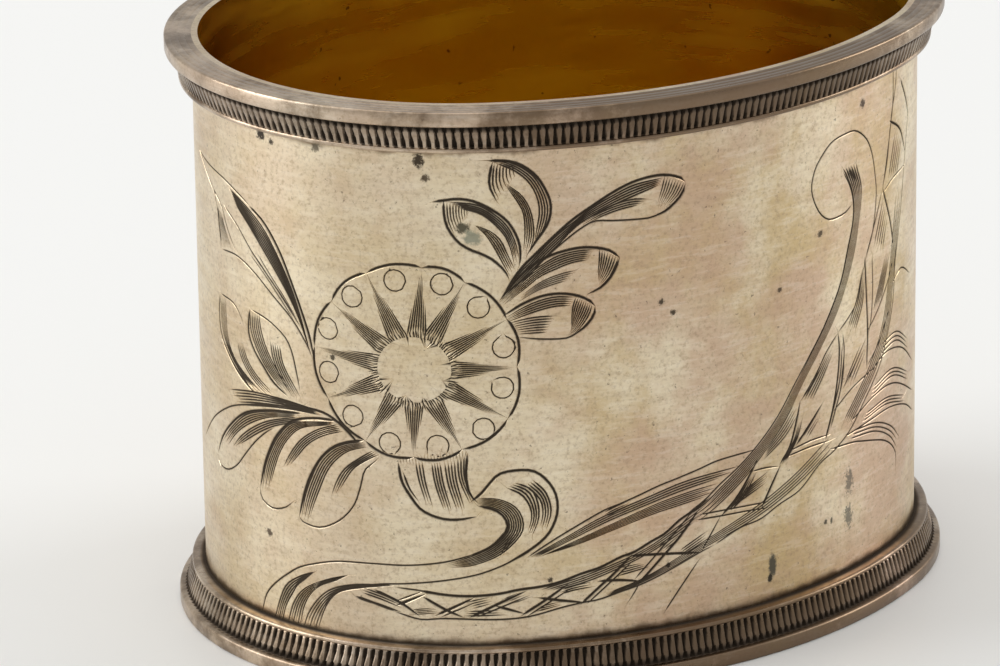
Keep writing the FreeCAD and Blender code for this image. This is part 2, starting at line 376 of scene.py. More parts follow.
UPPER_LEAVES = (
    Motif(
        "top leaf",
        bold=(
            ((-15.9, 34.0), (-14.3, 33.8), (-13.1, 33.0), (-12.4, 31.9), (-12.1, 30.9), (-12.3, 29.8),
             (-13.0, 28.8), (-13.6, 27.9)),
            ((-15.6, 33.9), (-15.8, 33.1), (-15.8, 32.3), (-15.4, 31.4)),
        ),
        bundles=(
            Bundle(((-14.9, 33.9), (-14.1, 33.6), (-13.2, 32.9), (-12.6, 31.9), (-12.3, 30.8),
                    (-12.5, 29.7), (-13.1, 28.6)),
                   ((-15.4, 33.8), (-14.5, 33.4), (-13.6, 32.7), (-13.0, 31.7), (-12.8, 30.6),
                    (-13.0, 29.4), (-13.2, 28.4)), 4),
            Bundle(((-15.5, 33.8), (-15.6, 33.1), (-15.6, 32.3), (-15.3, 31.6)),
                   ((-14.4, 33.6), (-14.4, 33.3), (-14.3, 32.9)), 7, 0.18, 0.09),
            Bundle(((-14.8, 32.3), (-14.2, 31.4), (-13.8, 30.6), (-13.7, 29.4), (-13.8, 28.3)),
                   ((-14.7, 32.4), (-13.9, 31.7), (-13.4, 30.8), (-13.2, 29.8), (-13.2, 28.9),
                    (-13.5, 28.0)), 5),
        ),
    ),
    Motif(
        "left leaf",
        bold=(
            ((-19.3, 31.4), (-18.6, 31.5), (-17.7, 31.6), (-16.7, 31.4), (-15.6, 30.8), (-14.7, 30.0),
             (-14.1, 28.8), (-14.0, 27.8), (-14.1, 27.2)),
            ((-18.6, 31.5), (-18.6, 30.7), (-18.4, 29.8), (-17.8, 28.9), (-17.1, 28.4), (-16.4, 28.1),
             (-15.7, 27.7), (-15.0, 27.0), (-14.7, 26.4)),
        ),
        bundles=(
            Bundle(((-18.2, 31.4), (-16.6, 31.2), (-15.6, 30.6), (-14.8, 29.8), (-14.3, 28.7),
                    (-14.1, 27.7)),
                   ((-17.6, 31.0), (-16.5, 30.7), (-15.7, 30.1), (-15.0, 29.3), (-14.6, 28.4),
                    (-14.4, 27.4)), 5),
            Bundle(((-18.4, 31.4), (-18.4, 30.8), (-18.3, 30.1), (-18.0, 29.4)),
                   ((-17.1, 31.3), (-17.2, 31.0), (-17.2, 30.5)), 8),
            Bundle(((-16.7, 29.9), (-16.1, 29.3), (-15.6, 28.5), (-15.2, 27.7), (-14.7, 26.7)),
                   ((-16.6, 29.9), (-15.8, 29.5), (-15.2, 28.9), (-14.8, 28.0), (-14.4, 27.1)), 5),
        ),
    ),
    Motif(
        "long leaf",
        bold=(
            ((-3.4, 31.4), (-3.7, 31.7), (-4.5, 32.0), (-5.5, 32.1), (-6.9, 31.9), (-8.2, 31.4),
             (-9.5, 30.7), (-10.8, 29.9), (-11.9, 29.0), (-13.0, 28.0), (-14.1, 26.9), (-15.1, 25.4)),
            ((-3.4, 31.3), (-3.7, 30.6), (-4.7, 29.8), (-5.7, 29.5)),
        ),
        thin=(
            ((-4.7, 29.8), (-5.7, 29.5), (-6.7, 29.5), (-8.2, 29.6), (-9.4, 29.7), (-10.3, 29.3),
             (-11.3, 28.6), (-12.4, 27.7), (-13.5, 26.6), (-14.6, 25.8), (-15.3, 25.1)),
        ),
        bundles=(
            Bundle(((-5.0, 31.9), (-6.8, 31.7), (-8.2, 31.2), (-9.6, 30.5), (-10.8, 29.7), (-12.0, 28.8),
                    (-13.1, 27.7), (-14.2, 26.6), (-15.1, 25.3)),
                   ((-5.2, 31.5), (-6.6, 31.1), (-7.9, 30.7), (-9.2, 30.2), (-10.4, 29.6), (-11.6, 28.5),
                    (-12.8, 27.4), (-14.0, 26.3), (-15.3, 25.0)), 5, 0.18, 0.09),
            Bundle(((-3.5, 31.4), (-3.9, 30.7), (-4.6, 30.1)),
                   ((-4.8, 32.0), (-5.0, 31.2), (-5.3, 30.4)), 8),
            Bundle(((-6.0, 30.7), (-7.0, 30.8), (-8.2, 30.6), (-9.3, 30.2), (-10.2, 29.7)),
                   ((-6.6, 30.4), (-7.6, 30.3), (-8.5, 30.1), (-9.4, 29.8), (-10.1, 29.5)), 4),
        ),
    ),
    Motif(
        "middle leaf",
        bold=(
            ((-7.8, 27.2), (-8.4, 27.7), (-9.3, 28.0), (-10.4, 28.1), (-11.7, 27.9), (-12.8, 27.5),
             (-13.7, 26.9), (-14.6, 26.0), (-15.3, 25.1)),
            ((-7.8, 27.2), (-8.1, 26.5), (-8.5, 25.9), (-9.1, 25.4), (-9.9, 25.1)),
        ),
        bundles=(
            Bundle(((-9.5, 27.9), (-10.6, 27.9), (-11.7, 27.7), (-12.7, 27.2), (-13.7, 26.5), (-14.5, 25.7),
                    (-15.2, 25.0)),
                   ((-9.9, 27.3), (-10.9, 27.2), (-11.8, 26.9), (-12.8, 26.5), (-13.6, 25.9), (-14.4, 25.3),
                    (-15.0, 24.8)), 6),
            Bundle(((-7.9, 27.2), (-8.2, 26.5), (-8.6, 25.9), (-9.1, 25.5)),
                   ((-9.1, 27.9), (-9.1, 27.2), (-9.2, 26.5), (-9.2, 26.1)), 8, 0.18, 0.09),
            Bundle(((-10.6, 26.7), (-11.7, 26.5), (-12.8, 26.1), (-13.9, 25.4)),
                   ((-11.2, 26.1), (-12.1, 25.9), (-13.0, 25.6), (-14.1, 25.0)), 5, 0.14, 0.06),
        ),
    ),
    Motif(
        "low leaf",
        bold=(
            ((-9.4, 24.3), (-9.8, 24.7), (-10.6, 25.1), (-11.7, 25.3), (-12.8, 25.2), (-13.9, 24.8),
             (-14.6, 24.4), (-15.1, 24.1)),
            ((-9.4, 24.3), (-9.5, 23.7), (-10.1, 23.0), (-10.9, 22.5)),
        ),
        thin=(
            ((-10.1, 23.0), (-10.9, 22.5), (-11.6, 22.4), (-13.0, 22.5), (-14.2, 22.7)),
        ),
        bundles=(
            Bundle(((-10.8, 25.0), (-11.9, 25.1), (-13.0, 24.9), (-14.0, 24.5), (-14.9, 24.0)),
                   ((-11.0, 24.5), (-12.0, 24.5), (-13.0, 24.3), (-14.0, 24.0), (-14.9, 23.7)), 5),
            Bundle(((-9.6, 24.4), (-9.8, 23.8), (-10.2, 23.2), (-10.7, 22.7), (-11.1, 22.5)),
                   ((-10.6, 25.0), (-10.8, 24.4), (-10.9, 23.6), (-10.9, 23.1)), 9, 0.17, 0.09),
            Bundle(((-12.0, 23.9), (-13.0, 23.9), (-13.9, 23.8), (-14.8, 23.6)),
                   ((-12.5, 22.9), (-13.1, 22.9), (-13.8, 22.9), (-14.4, 22.9)), 7, ends=(1.0, 0.9)),
        ),
    ),
)

LEFT_LEAVES = (
    Motif(
        "long blade",
        bold=(
            ((-32.5, 29.3), (-31.1, 28.5), (-29.9, 27.1), (-29.0, 25.4), (-28.2, 23.6), (-27.6, 22.0),
             (-27.3, 20.7)),
            ((-36.4, 28.4), (-36.3, 27.2), (-36.0, 25.7)),
        ),
        thin=(
            ((-39.8, 30.9), (-37.8, 30.6), (-35.4, 30.3), (-33.4, 29.7), (-32.3, 29.2)),
            ((-39.8, 30.9), (-37.8, 29.7), (-36.8, 28.9), (-36.4, 27.6)),
            ((-37.8, 29.6), (-35.9, 28.5), (-35.2, 27.3), (-34.5, 26.4), (-34.0, 25.9)),
            ((-36.0, 25.6), (-34.0, 25.7), (-32.2, 25.1), (-30.5, 24.0), (-28.9, 22.8), (-27.8, 21.4),
             (-27.4, 20.6)),
            ((-35.5, 28.6), (-33.9, 27.7), (-32.4, 26.4), (-30.8, 25.1), (-29.4, 23.8), (-28.2, 22.4)),
        ),
        bundles=(
            Bundle(((-34.8, 29.9), (-32.9, 29.2), (-31.3, 28.2), (-30.1, 26.8), (-29.1, 25.2),
                    (-28.3, 23.4), (-27.6, 21.2)),
                   ((-34.0, 29.0), (-32.6, 28.0), (-31.2, 26.7), (-30.1, 25.5), (-29.1, 24.2),
                    (-28.3, 22.8), (-27.6, 21.0)), 8, 0.18, 0.09),
            Bundle(((-32.6, 26.2), (-31.2, 25.2), (-29.9, 24.0), (-28.6, 22.6)),
                   ((-31.8, 26.4), (-30.7, 25.3), (-29.6, 24.2), (-28.5, 22.9)), 3, 0.14, 0.06),
            Bundle(((-36.4, 28.2), (-36.2, 27.1), (-35.9, 25.8)),
                   ((-35.9, 28.0), (-35.3, 26.9), (-34.6, 25.9)), 7, 0.2, 0.1),
        ),
    ),
    Motif(
        "upright leaf",
        bold=(
            ((-32.7, 22.6), (-32.9, 21.8), (-32.9, 20.9), (-32.4, 20.0), (-31.6, 19.2), (-30.6, 18.3),
             (-29.4, 17.7)),
        ),
        thin=(
            ((-32.7, 22.6), (-31.4, 22.4), (-30.5, 22.1), (-29.5, 21.5), (-29.0, 20.7), (-28.7, 19.6),
             (-28.4, 18.3)),
        ),
        bundles=(
            Bundle(((-32.6, 22.4), (-32.7, 21.4), (-32.2, 20.3), (-31.2, 19.1), (-29.6, 17.9)),
                   ((-31.8, 22.5), (-31.7, 21.6), (-31.2, 20.4), (-30.3, 19.2), (-29.0, 18.1)),
                   6, 0.17, 0.08),
            Bundle(((-30.8, 21.0), (-30.6, 19.9), (-29.9, 18.7), (-29.0, 17.8)),
                   ((-30.0, 20.9), (-29.8, 19.8), (-29.2, 18.9), (-28.4, 17.9)), 5, 0.17, 0.08),
        ),
    ),
    Motif(
        "outer leaf",
        bold=(
            ((-36.4, 22.6), (-36.6, 21.4), (-36.4, 20.0), (-35.4, 18.9), (-34.0, 17.9), (-32.3, 17.1)),
        ),
        thin=(
            ((-36.4, 22.6), (-34.7, 22.5), (-33.8, 21.9), (-33.4, 21.3)),
        ),
        bundles=(
            Bundle(((-36.2, 22.4), (-36.3, 21.2), (-36.0, 20.0), (-35.0, 18.8), (-32.6, 17.2)),
                   ((-35.6, 22.5), (-35.6, 21.4), (-35.4, 20.0), (-34.4, 18.7), (-31.7, 17.3)),
                   5, 0.18, 0.08),
            Bundle(((-34.2, 20.1), (-33.8, 19.1), (-32.7, 18.1), (-31.1, 17.3)),
                   ((-33.6, 20.0), (-33.1, 19.1), (-32.1, 18.3), (-30.5, 17.5)), 4, 0.18, 0.08),
        ),
    ),
    Motif(
        "branch",
        bold=(
            ((-24.3, 15.6), (-25.6, 16.7), (-26.8, 17.2), (-28.4, 17.2), (-30.1, 17.0)),
        ),
        thin=(
            ((-29.5, 17.0), (-31.7, 16.6), (-33.9, 16.0), (-35.7, 15.3), (-38.1, 13.9), (-40.5, 11.9)),
        ),
        bundles=(
            Bundle(((-27.4, 17.3), (-29.8, 17.4), (-32.6, 17.2), (-35.4, 16.6)),
                   ((-26.9, 17.0), (-29.3, 16.9), (-31.8, 16.5), (-34.2, 15.9)), 6, 0.17, 0.08),
        ),
    ),
    Motif(
        "near drooping leaf",
        bold=(
            ((-23.9, 15.8), (-25.1, 15.5), (-26.1, 15.0), (-27.0, 14.1), (-27.8, 12.8), (-28.3, 11.5),
             (-28.7, 10.0)),
        ),
        thin=(
            ((-28.7, 10.0), (-28.4, 9.7), (-27.1, 9.6), (-25.7, 10.3), (-24.7, 11.4), (-24.2, 12.7),
             (-23.9, 13.8), (-23.3, 14.4), (-22.9, 14.8)),
        ),
        bundles=(
            Bundle(((-23.9, 15.7), (-25.1, 15.4), (-26.1, 14.9), (-27.0, 14.0), (-27.7, 12.7),
                    (-28.2, 11.4), (-28.5, 10.0)),
                   ((-23.7, 15.4), (-24.9, 15.0), (-25.8, 14.3), (-26.5, 13.4), (-27.1, 12.1),
                    (-27.6, 10.9), (-27.9, 9.9)), 6),
            Bundle(((-23.3, 15.2), (-24.2, 14.6), (-25.2, 13.8), (-25.8, 12.9), (-26.2, 11.9)),
                   ((-22.9, 15.0), (-23.8, 14.5), (-24.7, 13.8), (-25.3, 12.9), (-25.7, 12.2)), 4),
        ),
    ),
    Motif(
        "middle drooping leaf",
        bold=(
            ((-25.8, 16.8), (-27.3, 16.7), (-29.0, 16.2), (-30.3, 15.1), (-31.1, 13.9), (-31.7, 12.6),
             (-32.1, 11.1)),
        ),
        thin=(
            ((-32.1, 11.1), (-32.0, 10.4), (-31.0, 10.0), (-29.9, 10.3), (-29.1, 10.9)),
        ),
        bundles=(
            Bundle(((-26.0, 16.7), (-28.9, 16.1), (-30.2, 15.0), (-31.0, 13.8), (-31.6, 12.5),
                    (-31.9, 11.0)),
                   ((-26.1, 16.5), (-28.3, 15.9), (-29.5, 14.9), (-30.3, 13.7), (-30.8, 12.5),
                    (-31.2, 11.3)), 6),
            Bundle(((-25.6, 16.6), (-27.1, 16.0), (-28.4, 15.1), (-29.3, 14.0), (-29.9, 13.0)),
                   ((-25.3, 16.2), (-26.7, 15.7), (-27.9, 14.9), (-28.7, 14.0), (-29.3, 13.3)), 5),
        ),
    ),
    Motif(
        "far drooping leaf",
        bold=(
            ((-28.4, 16.8), (-31.0, 16.4), (-33.5, 15.6), (-35.5, 14.2), (-36.8, 12.9), (-37.5, 11.7)),
        ),
        thin=(
            ((-37.5, 11.7), (-37.2, 11.1), (-36.0, 11.1), (-34.7, 11.8), (-33.6, 12.9), (-32.5, 14.0),
             (-31.4, 14.9), (-30.6, 15.4)),
        ),
        bundles=(
            Bundle(((-28.6, 16.8), (-31.1, 16.3), (-33.4, 15.5), (-35.3, 14.1), (-36.5, 12.9)),
                   ((-28.9, 16.5), (-31.2, 15.9), (-33.1, 15.0), (-34.7, 13.9), (-35.8, 12.8)), 5),
            Bundle(((-28.7, 16.5), (-31.1, 15.7), (-32.8, 14.8), (-34.2, 13.8), (-35.1, 12.9)),
                   ((-28.4, 16.3), (-30.6, 15.5), (-32.1, 14.7), (-33.5, 13.8), (-34.6, 13.1)), 4),
        ),
    ),
)

STEM = (
    Motif(
        "stem",
        bold=(
            ((-21.7, 14.6), (-21.5, 13.4), (-21.0, 12.5), (-20.3, 11.6), (-19.2, 11.1), (-18.1, 11.0),
             (-16.9, 11.2)),
            ((-17.4, 15.3), (-17.5, 13.8), (-17.3, 12.7), (-16.8, 12.1)),
        ),
        bundles=(
            Bundle(((-21.6, 14.0), (-21.3, 12.9), (-20.6, 12.0)),
                   ((-21.4, 14.0), (-21.0, 12.9), (-20.4, 12.1)), 2, 0.2, 0.1),
            Bundle(((-20.6, 14.7), (-20.4, 13.5), (-20.0, 12.1)),
                   ((-20.2, 14.7), (-20.0, 13.3), (-19.6, 11.9)), 3),
            Bundle(((-19.6, 14.7), (-19.4, 13.3), (-18.9, 11.7)),
                   ((-19.1, 14.7), (-18.9, 13.3), (-18.4, 11.5)), 4),
            Bundle(((-18.8, 14.7), (-18.6, 13.3), (-18.1, 11.7)),
                   ((-18.2, 14.8), (-18.1, 13.5), (-17.6, 11.6)), 4),
            Bundle(((-18.0, 15.0), (-17.9, 13.6), (-17.3, 12.1)),
                   ((-17.6, 15.2), (-17.6, 13.7), (-17.0, 12.1)), 3),
            Bundle(((-21.6, 14.9), (-21.5, 14.5)), ((-17.5, 15.5), (-17.5, 15.0)), 22, 0.14, 0.07),
        ),
    ),
    Motif(
        "curl",
        bold=(
            ((-17.2, 12.2), (-16.6, 12.7), (-16.1, 13.3), (-15.5, 13.9), (-14.5, 14.1), (-13.4, 14.0),
             (-12.6, 13.4), (-12.0, 12.4), (-11.9, 11.2), (-12.3, 10.1), (-12.9, 9.4), (-13.9, 8.7),
             (-15.2, 8.0)),
        ),
        thin=(
            ((-13.9, 8.7), (-15.2, 8.0), (-16.9, 7.4), (-19.0, 7.0), (-21.2, 6.7), (-23.0, 6.5),
             (-24.3, 6.2)),
        ),
        bundles=(
            Bundle(((-13.4, 13.4), (-12.6, 12.5), (-12.3, 11.3), (-12.6, 10.2)),
                   ((-13.9, 13.1), (-13.0, 12.2), (-12.8, 11.2), (-13.0, 10.3)), 4, 0.18, 0.09),
            Bundle(((-14.5, 13.3), (-13.5, 12.8), (-13.1, 11.8), (-13.1, 10.8), (-13.5, 9.8)),
                   ((-15.0, 13.0), (-14.1, 12.5), (-13.6, 11.7), (-13.5, 10.9), (-13.8, 10.0)),
                   4, 0.18, 0.09),
            Bundle(((-16.8, 12.4), (-15.6, 12.3), (-14.6, 11.8), (-14.1, 11.0), (-14.1, 10.1), (-14.8, 9.2),
                    (-15.8, 8.5), (-17.3, 8.0), (-18.6, 7.9)),
                   ((-16.8, 12.0), (-15.7, 11.7), (-15.0, 11.1), (-14.9, 10.3), (-15.4, 9.6), (-16.3, 9.0),
                    (-17.5, 8.5), (-18.8, 8.1)), 7),
            Bundle(((-14.9, 9.8), (-15.5, 8.5)), ((-14.7, 9.8), (-15.3, 8.6)), 2, 0.18, 0.1),
        ),
    ),
    Motif(
        "fold",
        bold=(
            ((-16.8, 11.9), (-15.8, 11.6), (-15.2, 11.1), (-15.0, 10.4), (-15.4, 9.8), (-16.2, 9.1),
             (-17.5, 8.6)),
        ),
        thin=(
            ((-17.0, 8.8), (-17.5, 8.6), (-19.0, 8.2), (-21.2, 7.9), (-23.4, 7.8), (-25.8, 7.6),
             (-27.6, 7.1), (-29.0, 6.5), (-30.5, 5.4)),
            ((-29.0, 6.5), (-30.5, 5.4), (-31.7, 4.2), (-32.2, 2.9)),
        ),
        bundles=(
            Bundle(((-27.5, 6.6), (-28.8, 6.0), (-29.9, 5.2), (-30.5, 4.1), (-31.0, 2.7)),
                   ((-28.1, 6.1), (-28.9, 5.5), (-29.4, 4.8), (-30.0, 3.8), (-30.3, 2.7)), 5, 0.17, 0.08),
            Bundle(((-25.1, 6.8), (-26.8, 6.2), (-28.4, 5.3), (-29.3, 4.2), (-29.8, 2.8)),
                   ((-25.8, 6.4), (-27.1, 5.8), (-27.9, 5.1), (-28.5, 4.1), (-28.8, 2.8)), 6, 0.17, 0.08),
            Bundle(((-22.1, 6.5), (-24.4, 6.3), (-26.1, 5.8), (-27.2, 5.0), (-28.1, 3.8), (-28.5, 2.8)),
                   ((-24.4, 6.1), (-25.8, 5.6), (-26.6, 4.8), (-27.1, 3.8), (-27.4, 2.8)), 6, 0.16, 0.07),
        ),
    ),
)

RIBBON = (
    Motif(
        "fluted stem",
        thin=(
            ((9.6, 29.3), (10.3, 28.3), (10.7, 27.2), (10.7, 25.9), (10.1, 24.1), (9.3, 22.0), (7.8, 19.8),
             (6.4, 18.2), (5.0, 16.6), (3.6, 14.9), (2.1, 13.5), (0.5, 12.3), (-1.0, 11.4), (-2.1, 10.6),
             (-3.3, 10.0)),
        ),
        bundles=(
            Bundle(((9.7, 29.4), (10.4, 28.3), (10.8, 27.2), (10.8, 25.9), (10.2, 24.1), (9.4, 22.0),
                    (7.9, 19.8), (6.5, 18.2), (5.1, 16.5), (3.7, 14.8), (2.2, 13.4), (0.6, 12.2),
                    (-0.9, 11.2), (-2.0, 10.4), (-3.2, 9.8)),
                   ((11.0, 29.4), (11.6, 28.0), (11.6, 26.9), (11.3, 25.4), (10.9, 23.9), (10.1, 22.1),
                    (9.0, 20.3), (7.4, 18.4), (5.8, 16.6), (4.2, 14.5), (2.7, 13.0), (1.1, 11.6),
                    (-0.3, 10.6), (-1.6, 9.8), (-2.6, 9.3)), 7, 0.19, 0.085),
            Bundle(((9.6, 29.5), (10.0, 29.0), (10.4, 28.2)),
                   ((11.0, 29.5), (11.2, 29.0), (11.5, 28.2)), 6, 0.2, 0.1),
        ),
    ),
    Motif(
        "ribbon edges",
        bold=(
            ((-20.5, 6.3), (-19.2, 6.1), (-18.0, 6.0), (-16.8, 6.0), (-15.5, 6.1), (-14.3, 6.3),
             (-13.0, 6.4), (-11.8, 6.6), (-10.5, 7.0), (-9.2, 7.3), (-7.9, 7.8), (-7.0, 8.0), (-5.9, 8.5),
             (-4.9, 8.9), (-3.9, 9.6), (-2.8, 10.1), (-1.7, 10.7)),
            ((-24.7, 5.5), (-23.4, 5.2), (-22.1, 4.8)),
        ),
        thin=(
            ((-22.0, 6.4), (-20.5, 6.3), (-19.6, 6.2)),
            ((-22.1, 4.8), (-20.5, 4.4), (-19.2, 4.5), (-18.0, 4.5), (-15.5, 4.4), (-13.7, 4.5),
             (-11.8, 4.9), (-10.5, 5.1), (-9.3, 5.2), (-8.0, 5.5), (-6.6, 5.8), (-5.3, 6.2), (-3.9, 6.7),
             (-2.5, 7.2), (-1.4, 7.5)),
            ((-1.4, 7.5), (0.5, 8.2), (2.1, 8.4), (3.7, 9.0), (5.5, 9.5), (7.3, 10.7), (8.8, 11.2),
             (10.5, 12.1), (12.2, 13.6), (13.9, 15.1), (15.0, 16.7), (16.0, 19.1), (16.3, 21.5),
             (17.0, 24.0), (17.8, 27.5), (18.6, 31.0)),
        ),
        bundles=(
            Bundle(((-13.0, 6.2), (-10.5, 6.8), (-8.0, 7.5), (-6.0, 8.2), (-4.0, 9.2), (-2.0, 10.3)),
                   ((-12.0, 6.1), (-10.0, 6.5), (-8.0, 7.1), (-6.0, 7.8), (-4.0, 8.7), (-2.4, 9.6)),
                   4, 0.15, 0.07),
            Bundle(((-9.0, 5.3), (-6.6, 5.9), (-3.9, 6.8), (-1.4, 7.7), (2.1, 8.7), (5.5, 10.0),
                    (8.8, 11.6)),
                   ((-8.6, 5.6), (-6.4, 6.2), (-3.9, 7.2), (-1.6, 8.1), (1.8, 9.3), (5.0, 10.6),
                    (8.2, 12.2)), 5, 0.16, 0.065),
            Bundle(((10.5, 12.5), (13.9, 15.6), (15.4, 18.0), (16.2, 21.5), (17.2, 26.0)),
                   ((9.8, 12.9), (13.0, 15.9), (14.6, 18.2), (15.5, 21.5), (16.4, 26.0)), 5, 0.17, 0.07),
            Bundle(((-24.2, 5.8), (-22.9, 5.5), (-21.7, 5.1)),
                   ((-24.0, 6.1), (-22.8, 5.8), (-21.6, 5.4)), 3, 0.18, 0.09),
        ),
    ),
    Motif(
        "lower straps",
        bold=(
            ((-24.6, 5.4), (-23.4, 5.2), (-21.7, 4.8)),
            ((-23.4, 6.1), (-21.7, 5.4), (-20.5, 4.6)),
            ((-20.3, 5.9), (-18.9, 5.1), (-17.8, 4.6)),
            ((-17.4, 4.6), (-15.5, 5.5), (-13.9, 6.2)),
            ((-14.2, 4.6), (-12.7, 5.5), (-11.2, 6.5)),
            ((-15.8, 5.3), (-14.0, 4.7)),
            ((-10.5, 5.0), (-9.3, 6.0), (-8.3, 6.8), (-7.1, 7.9)),
            ((-13.2, 5.7), (-11.8, 5.4), (-10.2, 5.1)),
            ((-9.4, 6.4), (-8.0, 6.3), (-6.5, 6.0)),
            ((-6.8, 5.8), (-5.3, 7.2), (-3.9, 8.5), (-2.5, 10.1)),
            ((-7.3, 7.8), (-5.3, 7.6), (-2.4, 7.2)),
            ((-22.0, 5.2), (-20.1, 6.1)),
            ((-19.5, 4.7), (-18.3, 5.3), (-17.1, 5.9)),
        ),
        thin=(
            ((-6.6, 6.0), (-7.1, 5.2), (-7.5, 4.7)),
            ((-2.4, 7.2), (-1.5, 8.5), (-0.9, 9.4)),
            ((-2.8, 9.4), (-0.9, 9.3), (0.9, 9.2), (2.9, 9.0)),
            ((-22.0, 5.5), (-20.2, 6.3)),
            ((-19.2, 4.6), (-17.0, 5.6)),
            ((-17.0, 4.6), (-13.7, 5.9)),
            ((-13.9, 4.5), (-11.0, 6.2)),
            ((-10.1, 5.0), (-6.9, 7.6)),
            ((-7.0, 6.2), (-2.8, 10.2)),
            ((-5.0, 3.7), (-3.9, 5.1), (-2.5, 6.8)),
        ),
        bundles=(
            Bundle(((-20.9, 4.7), (-19.3, 4.9)), ((-21.0, 5.0), (-19.6, 5.2)), 4, 0.17, 0.08),
            Bundle(((-17.6, 5.6), (-16.2, 5.9)), ((-17.2, 5.2), (-16.0, 5.5)), 4, 0.17, 0.08),
            Bundle(((-17.7, 4.7), (-15.2, 4.7)), ((-17.5, 5.0), (-15.6, 5.0)), 3, 0.17, 0.08),
            Bundle(((-13.3, 4.8), (-11.8, 5.1)), ((-13.1, 5.1), (-11.9, 5.3)), 3, 0.18, 0.09),
            Bundle(((-11.8, 5.8), (-10.9, 6.0), (-9.7, 6.1)),
                   ((-11.6, 6.1), (-10.8, 6.3), (-9.9, 6.4)), 3, 0.2, 0.1),
            Bundle(((-8.1, 6.6), (-6.0, 6.9)), ((-7.9, 7.1), (-6.6, 7.2)), 4, 0.18, 0.09),
            Bundle(((-3.9, 7.6), (-2.0, 8.5)), ((-3.7, 7.2), (-2.1, 7.9)), 4, 0.18, 0.09),
            Bundle(((-15.4, 5.7), (-14.4, 6.1)), ((-14.8, 5.4), (-13.6, 5.8)), 3, 0.15, 0.07),
            Bundle(((-5.6, 7.9), (-4.2, 8.9)), ((-5.0, 7.8), (-3.6, 8.6)), 4, 0.15, 0.07),
        ),
    ),
    Motif(
        "upper straps",
        bold=(
            ((-0.9, 9.3), (0.1, 10.1), (0.9, 11.0), (1.9, 12.4)),
            ((2.2, 9.1), (2.9, 10.2), (3.8, 11.6)),
            ((3.7, 11.6), (4.6, 12.6), (5.2, 14.2), (5.5, 15.4)),
            ((7.9, 12.2), (8.6, 13.9), (9.1, 15.8), (9.3, 17.7), (9.1, 19.0)),
            ((12.1, 23.1), (12.3, 20.9), (12.5, 18.1), (12.4, 15.6)),
            ((14.4, 26.9), (15.5, 24.5), (16.0, 22.6)),
            ((5.1, 12.5), (6.4, 13.6), (7.6, 14.7)),
            ((15.3, 31.1), (17.0, 30.1), (18.0, 28.3)),
            ((17.0, 33.4), (18.2, 31.6), (18.7, 30.2)),
        ),
        thin=(
            ((1.3, 11.7), (2.5, 11.7), (3.8, 11.5)),
            ((4.2, 12.0), (6.4, 12.1), (8.5, 12.0)),
            ((9.1, 18.9), (7.8, 17.8), (6.6, 16.2), (5.4, 15.3)),
            ((9.1, 18.9), (10.4, 19.7), (11.2, 20.5), (12.1, 22.8)),
            ((13.0, 23.0), (13.1, 20.6), (12.9, 18.7), (12.5, 17.8)),
            ((12.2, 23.0), (13.4, 25.1), (14.3, 26.9)),
            ((14.3, 26.9), (15.0, 28.6), (15.4, 30.9)),
            ((14.4, 26.6), (15.9, 27.2), (18.0, 27.5)),
            ((15.4, 31.0), (16.1, 32.9), (16.4, 34.6)),
            ((12.4, 18.0), (13.8, 19.1), (15.2, 20.6), (16.0, 21.9)),
            ((12.4, 15.7), (14.1, 17.0), (15.6, 18.9)),
            ((9.6, 15.0), (11.0, 16.3), (12.3, 17.7)),
            ((8.6, 13.8), (10.7, 14.8), (13.3, 15.4)),
            ((9.6, 18.8), (9.8, 17.4), (9.4, 15.2)),
            ((4.4, 12.3), (6.5, 12.5), (8.4, 12.4)),
            ((-2.6, 9.7), (0.0, 9.6), (2.9, 9.4)),
        ),
        bundles=(
            Bundle(((-0.6, 9.6), (0.4, 10.2), (1.4, 11.4)),
                   ((-0.2, 9.5), (0.8, 10.2), (1.8, 11.6)), 3, 0.19, 0.1),
            Bundle(((0.1, 9.8), (2.5, 10.7)), ((0.7, 10.5), (2.7, 11.4)), 5, 0.18, 0.08),
            Bundle(((3.9, 11.6), (4.9, 12.8), (5.4, 14.0)),
                   ((4.2, 11.7), (5.2, 12.9), (5.7, 14.2)), 3, 0.19, 0.1),
            Bundle(((8.1, 12.6), (9.3, 15.6), (9.6, 18.2)),
                   ((8.4, 12.8), (9.6, 15.6), (9.8, 17.8)), 2, 0.18, 0.09),
            Bundle(((2.6, 12.9), (3.9, 14.1), (5.0, 15.4)),
                   ((2.4, 12.3), (4.2, 13.4), (5.3, 14.6)), 5, 0.16, 0.07),
            Bundle(((5.6, 15.4), (6.8, 16.6), (8.2, 18.2)),
                   ((6.6, 15.2), (7.6, 16.4), (8.6, 17.8)), 5, 0.17, 0.08),
            Bundle(((5.6, 13.0), (6.6, 13.9)), ((6.2, 12.8), (7.3, 13.8)), 4, 0.16, 0.07),
            Bundle(((10.2, 19.0), (11.2, 20.6), (11.8, 22.4)),
                   ((11.0, 18.6), (11.8, 20.0), (12.1, 21.6)), 5, 0.17, 0.08),
            Bundle(((9.9, 15.4), (11.6, 17.4)), ((10.8, 15.2), (12.2, 16.8)), 4, 0.17, 0.08),
            Bundle(((13.2, 19.2), (14.8, 22.4)), ((14.2, 19.6), (15.4, 22.4)), 5, 0.18, 0.08),
            Bundle(((13.3, 23.6), (14.4, 26.2)), ((14.4, 23.0), (15.0, 24.8)), 5, 0.18, 0.08),
            Bundle(((15.2, 27.4), (16.2, 30.2)), ((16.4, 27.2), (17.2, 29.4)), 5, 0.18, 0.08),
        ),
    ),
    Motif(
        "loop",
        thin=(
            ((10.6, 27.0), (9.9, 26.6), (8.9, 26.5), (8.1, 26.6), (7.3, 27.2), (6.7, 28.2), (6.5, 29.1),
